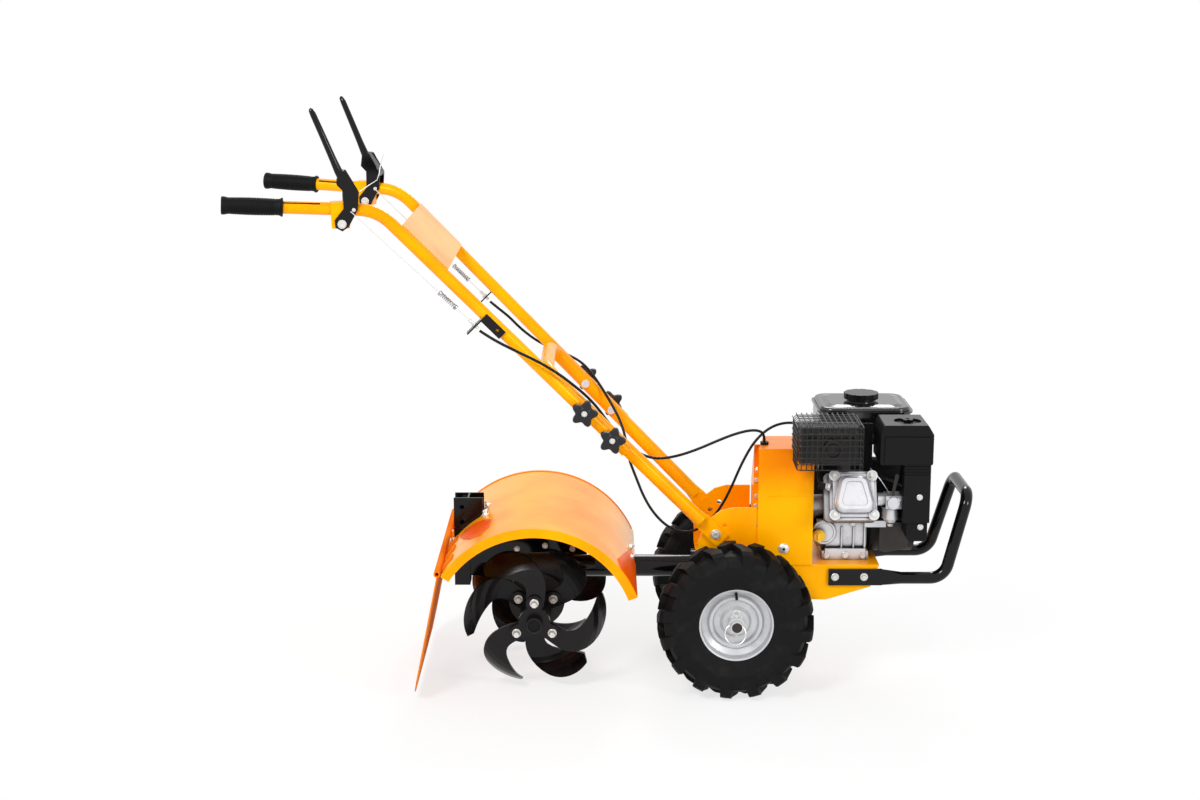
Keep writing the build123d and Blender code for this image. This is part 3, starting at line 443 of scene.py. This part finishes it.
def makePiece(name, body, skins, crease=34, stands=()):
    # skins: (finish, grid), whose open ends are closed by one flat face,
    # or (finish, grid, "ring"), whose last row is joined to the first
    verts, faces, which, used = [], [], [], []
    base = 0
    for finish, grid, *ring in skins:
        rows, cols = grid.shape[:2]
        index = np.arange(rows * cols).reshape(rows, cols) + base
        ahead = np.roll(index, -1, 1)
        quads = np.stack([index[:-1], ahead[:-1], ahead[1:], index[1:]], -1).reshape(-1, 4).tolist()
        if ring:
            quads += np.stack([index[-1], ahead[-1], ahead[0], index[0]], -1).tolist()
        else:
            quads += [index[0, ::-1].tolist(), index[-1].tolist()]
        if finish not in used:
            used.append(finish)
        which += [used.index(finish)] * len(quads)
        faces += quads
        verts.append(grid.reshape(-1, 3))
        base += rows * cols
    mesh = bpy.data.meshes.new(name)
    mesh.from_pydata(place(np.concatenate(verts)), [], faces)
    for finish in used:
        mesh.materials.append(finishes[finish])
    mesh.polygons.foreach_set("material_index", which)
    tidy = bmesh.new()
    tidy.from_mesh(mesh)
    bmesh.ops.remove_doubles(tidy, verts=tidy.verts, dist=2e-6)
    bmesh.ops.recalc_face_normals(tidy, faces=tidy.faces)
    tidy.to_mesh(mesh)
    tidy.free()
    mesh.shade_smooth()
    mesh.set_sharp_from_angle(angle=math.radians(crease))
    piece = bpy.data.objects.new(name, mesh)
    bpy.context.scene.collection.objects.link(piece)
    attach(piece, body)
    if stands:
        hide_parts(*stands)


farSide = np.array([1, -1, 1])      # turns a near grid into its mirror image


def mirrored(skins):
    # the skins and their mirror images
    return skins + [(finish, grid * farSide, *ring) for finish, grid, *ring in skins]


def hexHead(spot, axis, across, height, washer, stud=0.0):
    # hexagon bolt head with its chamfer, on a washer: a six-sided spin, the top ring drawn in
    tip = across / math.sqrt(3)      # from the middle to a corner
    head = [(1.2, tip), (height * 0.82, tip), (height, tip * 0.86), (height, tip * 0.5),
            (height - 0.5, tip * 0.42)]
    skins = [("zincSteel", spin(head, spot, axis, 6)),
             ("zincSteel", spin([(-0.2, washer), (1.1, washer), (1.5, washer - 0.5)], spot, axis, 20))]
    if stud:
        end = height + stud
        thread = [(0, across * 0.3), (end - 0.8, across * 0.3), (end, across * 0.24)]
        skins.append(("zincSteel", spin(thread, spot, axis, 12)))
    return skins


def both(spots):
    # the same places mirrored to the other side
    return list(spots) + [((x, -y, z), (ax, -ay, az), *rest) for (x, y, z), (ax, ay, az), *rest in spots]


def boltSet(name, body, spots, **size):
    # each spot: its place, the way the head faces, and its own size where that differs
    skins = []
    for spot, axis, *own in spots:
        skins += hexHead(spot, axis, **{**size, **(own[0] if own else {})})
    makePiece(name, body, skins, crease=28)


frameBolts = {"across": 11.0, "height": 6.5, "washer": 8.5}
frameSpots = both([
    ((220, -107, 240), (0, -1, 0)), ((283, -107, 240), (0, -1, 0)),
    ((-40, -108.2, 336), (0, -1, 0), {"across": 14.0, "height": 8.0, "washer": 11.0}),
    ((12, -100, 292), (0, -1, 0)), ((-60, -100, 292), (0, -1, 0)),
]) + [
    ((51, -70, 470), (-1, 0, 0), {"across": 8.0, "height": 4.5, "washer": 6.0}),
    ((57, 20, 424), (0, -1, 0), {"across": 8.0, "height": 4.0, "washer": 5.5}),
    ((58, 20, 387), (0, -1, 0), {"across": 8.0, "height": 4.0, "washer": 5.5}),
    ((57, 20, 365), (0, -1, 0), {"across": 8.0, "height": 4.0, "washer": 5.5}),
    ((262, -58, 346), (0, -1, 0), {"across": 9.0, "height": 5.0, "washer": 6.5}),
    ((390.6, -146, 428.7), (0, -1, 0), {"across": 8.0, "height": 4.0, "washer": 6.5}),
    ((395.2, -140, 361.5), (0, -1, 0), {"across": 8.0, "height": 4.0, "washer": 6.5}),
    ((51, -84, 352), (-1, 0, 0), {"across": 8.0, "height": 4.5, "washer": 6.0}),
    ((205, -67, 276), (0, -1, 0), {"across": 9.0, "height": 5.0, "washer": 6.5}),
    ((246, -67, 278), (0, -1, 0), {"across": 11.0, "height": 7.0, "washer": 8.0}),
    ((284, -67, 276), (0, -1, 0), {"across": 9.0, "height": 5.0, "washer": 6.5}),
]
boltSet("frameBolts", "machine", frameSpots, **frameBolts)

coverScrew = {
    "spot": (108, -103.0, 303),
    "head": [(-0.3, 12), (1.2, 12), (3.2, 10.5), (5.0, 7.2), (5.8, 3), (5.9, 0)],
    "socket": [(5.4, 0), (6.0, 3.4), (6.15, 2.2), (6.15, 0)],
}
makePiece("coverScrew", "machine", [
    ("zincSteel", spin(coverScrew["head"], coverScrew["spot"], (0, -1, 0), 28)),
    ("blackSteel", spin(coverScrew["socket"], coverScrew["spot"], (0, -1, 0), 6))])

rotorBolts = {"across": 13.0, "height": 13.4, "washer": 9.5}
rotorFlanges = {
    "centre": (-429, 163), "ring": 44, "outward": 8.2, "inward": 6.5, "innerHeight": 7.0,
    "rows": ((182.0, 90), (84.0, 30)),      # a flange's distance from the middle, and its first bolt's angle
}
rotorSpots = []
for side in (-1, 1):
    for face, first in rotorFlanges["rows"]:
        for i in range(3):
            angle = math.radians(first + 120 * i)
            x = rotorFlanges["centre"][0] + rotorFlanges["ring"] * math.cos(angle)
            z = rotorFlanges["centre"][1] + rotorFlanges["ring"] * math.sin(angle)
            rotorSpots.append(((x, side * (face + rotorFlanges["outward"]), z), (0, side, 0)))
            rotorSpots.append(((x, side * (face - rotorFlanges["inward"]), z), (0, -side, 0),
                               {"height": rotorFlanges["innerHeight"]}))
boltSet("rotorBolts", "rotor", rotorSpots, **rotorBolts)
print("bolts placed")

# the rotor shaft is an open tube: a turned rim at each end, the bore closed just inside by a black disc as
# painted shade
shaftEnds = {"centre": (-429, 163), "face": 206.0, "outer": 17.2, "bore": 12.4}
outer, bore = shaftEnds["outer"], shaftEnds["bore"]
rimProfile = [(-1.0, outer), (1.6, outer), (2.4, outer - 0.8), (2.4, bore + 0.6), (1.6, bore), (0.4, bore)]
shaftSkins = []
for side in (-1, 1):
    spot = (shaftEnds["centre"][0], side * shaftEnds["face"], shaftEnds["centre"][1])
    shaftSkins.append(("blackPaint", spin(rimProfile, spot, (0, side, 0), 32)))
    # painted shade: a flat black disc just inside the rim stands for the dark inside of the tube
    shaftSkins.append(("matPlastic", spin([(0.1, bore), (0.5, bore), (0.5, 0)], spot, (0, side, 0), 32)))
makePiece("shaftEnds", "rotor", shaftSkins)

hoodShell = {"centre": (-428, 156), "radius": 233.0}      # the hood's outer face: (x, z) of its middle

# under the hood: a black plate between the beam and the sheet, arc above, straight edge on the beam, that
# darkens the space seen below the sheet
underHoodPlate = {
    "radius": 230.5, "first": 58.0, "last": 142.0, "side": -30.0, "thick": 4.0, "beam": 273.0,
    "foot": [(-600.0, 262.0), (-502.0, 240.0), (-499.0, 273.0)],
    "bolts": [(-472, 281), (-410, 288), (-350, 281)],
}
plateArc = arc(hoodShell["centre"], underHoodPlate["radius"], underHoodPlate["first"], underHoodPlate["last"], 24, 0)[:, ::2]
plateOutline = np.vstack([plateArc, underHoodPlate["foot"], (plateArc[0, 0], underHoodPlate["beam"])])
plateSkins = [("blackPaint", pressed(plateOutline, [(0, 0), (0, underHoodPlate["thick"])],
                                   underHoodPlate["side"] + underHoodPlate["thick"]))]
for x, z in underHoodPlate["bolts"]:
    plateSkins += hexHead((x, underHoodPlate["side"], z), (0, -1, 0), 9.0, 5.0, 6.5)
makePiece("underHoodPlate", "machine", plateSkins)


def hoodSheet(outline, rows):
    # outline of (angle, y) laid on the hood; each row is (share of full size, height over the sheet):
    # x = centre + reach * cos angle, z = centre + reach * sin angle, reach = the hood's radius + height
    outline = np.asarray(outline, float)
    middle = outline.mean(0)
    grid = []
    for share, height in rows:
        ring = middle + (outline - middle) * share
        angle, reach = np.radians(ring[:, 0]), hoodShell["radius"] + height
        grid.append(np.column_stack([hoodShell["centre"][0] + reach * np.cos(angle), ring[:, 1],
                                     hoodShell["centre"][1] + reach * np.sin(angle)]))
    return np.array(grid)


# gussets that brace the hood on the right: one at the rear bracket, one at its front edge
hoodGussets = {
    "rear": [(134.8, -80), (131.2, -54), (124.9, -62), (118.9, -76), (113.9, -108), (114.5, -164),
             (119.2, -202), (125.8, -178), (131.6, -128)],
    "front": [(41, -200), (33, -62), (27, 30), (21.6, 30), (21.6, -120), (21.6, -246), (31, -246),
              (38, -246)],
    "rows": [(1.0, -0.6), (1.0, 0.9), (0.96, 1.6), (0.7, 2.4), (0.4, 3.2), (0.1, 3.6)],
}
# the gussets are in shadedOrange, painted shade
makePiece("hoodGussets", "machine", [
    ("shadedOrange", hoodSheet(hoodGussets[name], hoodGussets["rows"])) for name in ("rear", "front")],
    crease=50)

# the bead along the far rim of the hood, in shadedOrange as painted shade
hoodBead = {"radius": 233.2, "wire": 1.3, "side": 236.0, "first": 24, "last": 143}
beadLine = arc(hoodShell["centre"], hoodBead["radius"], hoodBead["first"], hoodBead["last"], 60,
               hoodBead["side"])
makePiece("hoodBead", "machine", [("shadedOrange", tube(beadLine, hoodBead["wire"], 8))])

hoodBolts = {"across": 10.0, "height": 6.0, "washer": 8.0, "stud": 5.0}
hoodBoltPlaces = {"angles": (118.5, 27.7), "side": 40}
hoodSpots = []
for degrees in hoodBoltPlaces["angles"]:
    out = (math.cos(math.radians(degrees)), 0, math.sin(math.radians(degrees)))
    x = hoodShell["centre"][0] + hoodShell["radius"] * out[0]
    z = hoodShell["centre"][1] + hoodShell["radius"] * out[2]
    hoodSpots += [((x, side * hoodBoltPlaces["side"], z), out) for side in (-1, 1)]
boltSet("hoodBolts", "machine", hoodSpots, **hoodBolts)
print("hood fitted out")

coverRidge = {"height": 420.0, "face": -103.0, "radius": 1.3, "along": (72, 76, 118, 160, 164),
              "taper": (0.3, 1, 1, 1, 0.3)}
makePiece("coverRidge", "machine", [
    ("orangePaint", tube([(x, coverRidge["face"], coverRidge["height"]) for x in coverRidge["along"]],
                         np.array(coverRidge["taper"]) * coverRidge["radius"], 8))])

# the valve cover sits out along the leaning barrel; its bolts are (x, lift square to the barrel's axis)
coverBolts = {"across": 10.0, "height": 6.0, "washer": 7.6}
barrel = {"lean": 25, "foot": (30, 368), "cover": 199.6,
          "bolts": [(209, 25), (289, 25), (208, -59), (290, -59)]}
away, rise = math.cos(math.radians(barrel["lean"])), math.sin(math.radians(barrel["lean"]))
coverY = barrel["foot"][0] - barrel["cover"] * away
coverZ = barrel["foot"][1] + barrel["cover"] * rise
boltSet("coverBolts", "machine", [((x, coverY + lift * rise, coverZ + lift * away), (0, -away, rise))
                                  for x, lift in barrel["bolts"]], **coverBolts)

# silencer guard: wire hoops round three sides, wires over the top, uprights only beside the outlet
guard = {
    "left": 124.0, "right": 262.0, "front": -194.0, "back": -72.0, "top": 596.0, "low": 499.0,
    "corner": 8.0, "bevel": 6, "wire": 1.25,
    "hoops": [500, 512, 525, 538, 551, 564, 577, 590],
    "uprights": [132, 143, 154, 165, 176, 233, 244, 255],
    "over": range(132, 254, 11),
    "across": [-92, -108, -124, -140, -156, -172, -186],
}
left, right, front, back = (guard[key] for key in ("left", "right", "front", "back"))
top, low, bevel = (guard[key] for key in ("top", "low", "bevel"))
bend = np.radians(np.linspace(0, 90, 5))
rounding = np.column_stack([1 - np.sin(bend), 1 - np.cos(bend)]) * guard["corner"]
guardPaths = []
for z in guard["hoops"]:
    guardPaths.append([(right, back, z), *[(right - b, front + a, z) for a, b in rounding],
                       *[(left + a, front + b, z) for a, b in rounding], (left, back, z)])
for x in guard["over"]:
    start = [(x, front, low)] if x in guard["uprights"] else []
    guardPaths.append([*start, *[(x, front + a, top - b) for a, b in rounding[::-1]], (x, back, top)])
for x in guard["uprights"]:
    if x not in guard["over"]:
        guardPaths.append([(x, front, low), (x, front, top - bevel)])
for y in guard["across"]:
    guardPaths.append([(left, y, low), (left, y, top - bevel), (left + bevel, y, top),
                       (right - bevel, y, top), (right, y, top - bevel), (right, y, low)])
makePiece("guardWires", "machine",
          [("blackWire", tube(path, guard["wire"], 6)) for path in guardPaths], stands=("silencer_guard",))

plateRows = [(1, 0), (0, 0.8), (0, 2.2), (1, 3)]      # a 3 mm plate with bevelled edges: (inset, height)

# thin sheets: beside the barrel, behind the controls and below the carburettor
shroudSheets = {
    "beside": {"finish": "matPlastic", "y": -78.0, "rows": plateRows,
               "outline": [(171.5, 418), (203, 418), (203, 506), (171.5, 506)]},
    "control": {"finish": "matPlastic", "y": -35.0, "rows": plateRows,
                "outline": [(262, 458), (303, 458), (303, 566), (262, 566)]},
    "lower": {"finish": "smokedSteel", "y": -74.5, "rows": [(1, 0), (0, 0.8), (0, 1.8), (1.2, 2.6)],
              "outline": [(316, 291), (331, 287), (378, 294), (385, 330), (381, 352), (318, 360)]},
}
makePiece("shroudSheets", "machine", [
    (sheet["finish"], pressed(sheet["outline"], sheet["rows"], sheet["y"]))
    for sheet in shroudSheets.values()])

sparkPlug = {
    "start": (199, -148, 452), "axis": (-1, 0.1, 0.12),
    "lead": [(180, -146, 455), (176, -140, 466), (176, -124, 480), (178, -104, 488), (182, -84, 490)],
}
plugLine = (sparkPlug["start"], sparkPlug["axis"])
makePiece("sparkPlug", "machine", [
    ("zincSteel", spin([(0, 8), (5, 8), (6, 6.5)], *plugLine, 6)),
    ("castAluminium", spin([(5.5, 5.5), (12, 5.2), (12.5, 4)], *plugLine, 16)),
    ("matPlastic", spin([(10, 6.4), (10.6, 7.2), (22, 7.2), (24.5, 6), (25.5, 3), (25.7, 0)], *plugLine, 20)),
    ("cableSheath", tube(sparkPlug["lead"], 3.2, 8))])

# crankcase face: bearing ring and upright ribs
caseDetail = {"ring": (199, -58, 327), "ribs": (238, 264, 288), "face": -58,
              "rib": [(-2, 292), (2, 292), (2, 340), (-2, 340)]}
caseSkins = [("castAluminium", spin([(-0.4, 27), (3.4, 27), (4.6, 25.6), (4.6, 22), (3.2, 20.6), (2.8, 12),
                                     (2.8, 0)], caseDetail["ring"], (0, -1, 0), 40))]
for x in caseDetail["ribs"]:
    ribShape = [(x + across, z) for across, z in caseDetail["rib"]]
    caseSkins.append(("castAluminium", pressed(ribShape, [(0, -0.4), (0, 3), (0.7, 4)], caseDetail["face"])))
makePiece("caseDetail", "machine", caseSkins)

# carburettor fittings: bowl bolt and rim, screws, fuel pipe, governor arm and its rod
carburettor = {
    "bowl": (336, -106), "screws": (328, 350),
    "fuelPipe": [(300, -88, 462), (316, -98, 459), (336, -108, 455), (350, -114, 450), (362, -116, 445)],
    "governorRod": [(287, -120, 486), (298, -121, 476), (312, -124, 458), (324, -122, 440), (331, -120, 428)],
    "arm": [(334, 428), (340, 427), (350, 470), (346, 474), (341, 472)],
}
carburettorSkins = hexHead((*carburettor["bowl"], 360.4), (0, 0, -1), 11.0, 6.0, 8.0)
for x in carburettor["screws"]:
    carburettorSkins += hexHead((x, -128.2, 418), (0, -1, 0), 6.0, 3.0, 4.2)
carburettorSkins += [
    ("castAluminium", spin([(-1.6, 18.2), (-1.6, 20.6), (1.6, 20.6), (1.6, 18.2)],
                           (*carburettor["bowl"], 397.6), (0, 0, 1), 32)),
    ("cableSheath", tube(carburettor["fuelPipe"], 3.6, 10)),
    ("finAluminium", tube(carburettor["governorRod"], 0.9, 6)),
    ("smokedSteel", pressed(carburettor["arm"], [(0.4, 0), (0, 0.6), (0, 1.6), (0.4, 2)], -120)),
]
makePiece("carburettorFittings", "machine", carburettorSkins)
print("engine detailed")

# wheels: valve stem, a dark disc in the axle end as the painted shade of its bore, and the lynch pin's wire
# ring
wheelFittings = {
    "valve": (0, -195, 231), "valveAxis": (0, -0.94, -0.34), "bore": (0, -236, 168),
    "ringCentre": (-3, -230, 152), "ringRadius": 22.0, "wire": 1.3,
    "ringUp": (0, 0.28, 0.96), "ringOut": (0, -0.96, 0.28),
}


def wireRing(centre, radius, wire, up, out):
    # closed ring: centre + (radius + wire * cos turn) * spoke + wire * sin turn * out
    swing = np.linspace(0, 2 * np.pi, 40, endpoint=False)[:, None]
    spoke = np.cos(swing) * (1, 0, 0) + np.sin(swing) * np.array(up)
    turn = np.linspace(0, 2 * np.pi, 8, endpoint=False)
    return (np.array(centre) + spoke[:, None] * (radius + wire * np.cos(turn))[None, :, None]
            + (wire * np.sin(turn))[None, :, None] * np.array(out))


valveProfile = [(-3, 3.4), (2, 3.4), (3, 2.6), (13, 2.4), (13.5, 3.2), (20, 3.2), (21, 2.2), (21.2, 0)]
# painted shade: boreProfile closes in a flat dark disc just inside its rim
boreProfile = [(-0.4, 11), (0.5, 11), (0.7, 9.4), (0.3, 9), (0.3, 0)]
makePiece("wheelFittings", "wheels", mirrored([
    ("cableSheath", spin(valveProfile, wheelFittings["valve"], wheelFittings["valveAxis"], 14)),
    ("smokedSteel", spin(boreProfile, wheelFittings["bore"], (0, -1, 0), 28)),
    ("zincSteel", wireRing(wheelFittings["ringCentre"], wheelFittings["ringRadius"], wheelFittings["wire"],
                           wheelFittings["ringUp"], wheelFittings["ringOut"]), "ring")]))

# star knobs: a turned profile whose rim is cut by five lobes, with the nut of its bolt in the face
starKnobs = {"radius": 29.0, "lobes": 5, "depth": 10.0,
             "spots": [(-263.3, 181.2, 562.4), (-321.6, 187.0, 621.5)]}
rim = starKnobs["radius"]
knobProfile = [(-8, 11, 0), (-1, 11, 0), (-0.4, rim - 6, 0.9), (0.6, rim - 1.6, 1), (2.6, rim, 1),
               (9.5, rim, 1), (12.4, rim - 1.8, 1), (13.6, rim - 5, 0.9), (12.8, 15, 0.2), (13.4, 12, 0),
               (14, 10.6, 0), (14, 8, 0), (11.5, 7.4, 0), (11.5, 0, 0)]
knobSkins = []
for x, y, z in starKnobs["spots"]:
    for side in (-1, 1):
        knobSkins.append(("knobPlastic", spin(knobProfile, (x, side * y, z), (0, side, 0), 60,
                                              starKnobs["lobes"], starKnobs["depth"])))
        knobSkins += hexHead((x, side * (y + 11.4), z), (0, side, 0), 9.0, 3.6, 6.4)
makePiece("starKnobs", "machine", knobSkins, stands=("star_knobs",))

# grips: a ribbed barrel between two collars, a little fatter in the middle
gripSleeve = {"inner": (-930.9, 239.4, 1056.3), "back": (-0.9838, 0.1719, 0.0501),
              "ribs": 20, "pitch": 4.4, "radius": 17.0, "swell": 0.8, "groove": 0.7}
gripProfile = [(-5, 13.4), (-5, 17.8), (-4, 19), (-1, 19), (0.2, 17.4), (4, 16.6)]
for k in range(gripSleeve["ribs"]):
    along = 12 + k * gripSleeve["pitch"]
    crest = gripSleeve["radius"] + gripSleeve["swell"] * math.sin(math.pi * k / (gripSleeve["ribs"] - 1))
    dip = crest - gripSleeve["groove"]
    gripProfile += [(along, dip), (along + 0.8, crest), (along + 3.0, crest), (along + 3.8, dip)]
gripProfile += [(106, 17.0), (110, 18.2), (115.5, 18.4), (117, 17.4), (117.6, 14), (117.8, 0)]
gripSkins = []
for side in (-1, 1):
    inner, backward = (np.array(gripSleeve[key]) * (1, side, 1) for key in ("inner", "back"))
    gripSkins.append(("gripRubber", spin(gripProfile, inner, backward, 36)))
makePiece("gripSleeves", "machine", gripSkins, stands=("grip_left", "grip_right"))

# levers: two cheek plates, the bent spine and a round arm, all turned with the grip tube
lever = {
    "cheek": [(-825, 1015), (-811, 1007), (-798, 1016), (-779, 1050), (-776, 1086), (-800, 1128),
              (-816, 1130), (-820, 1100), (-808, 1088), (-808, 1052), (-826, 1030)],
    "cheekFaces": (-235.5, -200.5),
    "spine": [(-779, 1078), (-776, 1086), (-804, 1130), (-809, 1126)], "spineFace": -202.5, "spineWidth": 34,
    "arm": [(-797, 1090), (-806, 1108), (-815, 1126), (-825, 1150), (-845, 1199), (-862, 1240), (-866, 1249),
            (-867.6, 1252.6)],
    "armRadius": [8, 9, 8.4, 7.2, 6.6, 6.2, 5, 2],
    "middle": -219.5, "bolt": (-811.6, 1021.6), "pin": (-787.4, 1050), "turn": 9.9,
    "outerFaces": ((-238.5, -1), (-200.5, 1)),      # y, and the way that side faces
}
swing = math.radians(lever["turn"])
turned = np.array([[math.cos(swing), -math.sin(swing), 0], [math.sin(swing), math.cos(swing), 0], [0, 0, 1]])
pivot = np.array([lever["bolt"][0], lever["middle"], 0])
leverSkins = [("blackPaint", pressed(lever["cheek"], plateRows, y)) for y in lever["cheekFaces"]]
spineRows = [(0, 0), (0, lever["spineWidth"])]
leverSkins.append(("blackPaint", pressed(lever["spine"], spineRows, lever["spineFace"])))
armLine = [(x, lever["middle"], z) for x, z in lever["arm"]]
leverSkins.append(("blackPaint", tube(armLine, lever["armRadius"], 16)))
for y, out in lever["outerFaces"]:
    leverSkins += hexHead((lever["bolt"][0], y, lever["bolt"][1]), (0, out, 0), 13.0, 4.0, 9.0)
    leverSkins.append(("zincSteel", spin([(-0.5, 4), (1.5, 4), (2.4, 3), (2.6, 0)],
                                         (lever["pin"][0], y, lever["pin"][1]), (0, out, 0), 14)))
leverSkins = [(finish, (grid - pivot) @ turned.T + pivot) for finish, grid in leverSkins]
makePiece("handLevers", "machine", mirrored(leverSkins), stands=("lever_left", "lever_right"))

# the wire latch on the far lever
leverLatch = {"wire": 1.0,
              "path": [(-829, 190, 1042), (-806, 190, 1057), (-786, 190, 1070), (-781, 191, 1084),
                       (-779, 194, 1098), (-775, 195, 1112), (-772, 195, 1122), (-769, 195, 1127)]}
makePiece("leverLatch", "machine", [
    ("zincSteel", tube(leverLatch["path"], leverLatch["wire"], 8))])

# black strips on top of the grip tubes: a painted dark reflection along the glossy tubes
reflectionStrips = {"radius": 1.7, "paths": [[(-924, -247, 1065.4), (-891, -240.8, 1064.0), (-852, -234.4, 1062.4)],
                                       [(-921, 227.8, 1064.4), (-895, 223, 1062.6), (-866, 218, 1061.4)]]}
# painted reflection: black strips lying along the tops of the grip tubes
makePiece("reflectionStrips", "machine", [
    ("matPlastic", tube(path, reflectionStrips["radius"], 8)) for path in reflectionStrips["paths"]])

# cable ends: distances from the stub's tip along the bare wire, except the stub's own length
cableEnds = {
    "start": (-546.4, -189.7, 806.7), "along": (-0.7005, -0.0698, 0.7103), "stub": 17,
    "pins": ((-789.8, -244.0, 1048.3), (-789.8, -193.5, 1048.3)),
    "springTurns": 9, "springRadius": 4.2, "springStart": 41, "springLength": 40,
    "caps": ((37, 41), (81, 85)),
}


def cableEnd(pin):
    # threaded stub and lock nut in the bracket, the bare wire up to the lever, its spring between two caps;
    # spring: tip + heading * distance + radius * (cos winding * side + sin winding * up)
    start, along = np.array(cableEnds["start"]), np.array(cableEnds["along"])
    tip = start + along * cableEnds["stub"]
    heading = (np.array(pin) - tip) / np.linalg.norm(np.array(pin) - tip)
    _, side, up = crossAxes(heading)
    share = np.linspace(0, 1, cableEnds["springTurns"] * 10)[:, None]
    winding = share * cableEnds["springTurns"] * 2 * np.pi
    coil = (tip + heading * (cableEnds["springStart"] + cableEnds["springLength"] * share)
            + cableEnds["springRadius"] * (np.cos(winding) * side + np.sin(winding) * up))
    skins = [("zincSteel", spin([(-8, 3.2), (18, 3.2)], start, along, 12)),
             ("zincSteel", spin([(2, 6.4), (6, 6.4)], start, along, 6)),
             ("zincSteel", tube([tip, tip + heading * 60, pin], 1.0, 6)),
             ("finAluminium", tube(coil, 1.1, 6))]
    for near, far in cableEnds["caps"]:
        skins.append(("finAluminium", spin([(near, 5.6), (far, 5.6)], tip, heading, 12)))
    return skins


nearPin, farPin = cableEnds["pins"]
endSkins = cableEnd(nearPin) + [(finish, grid * farSide) for finish, grid in cableEnd(farPin)]
makePiece("cableEnds", "machine", endSkins, stands=("cable_adjusters",))
print("handles detailed")
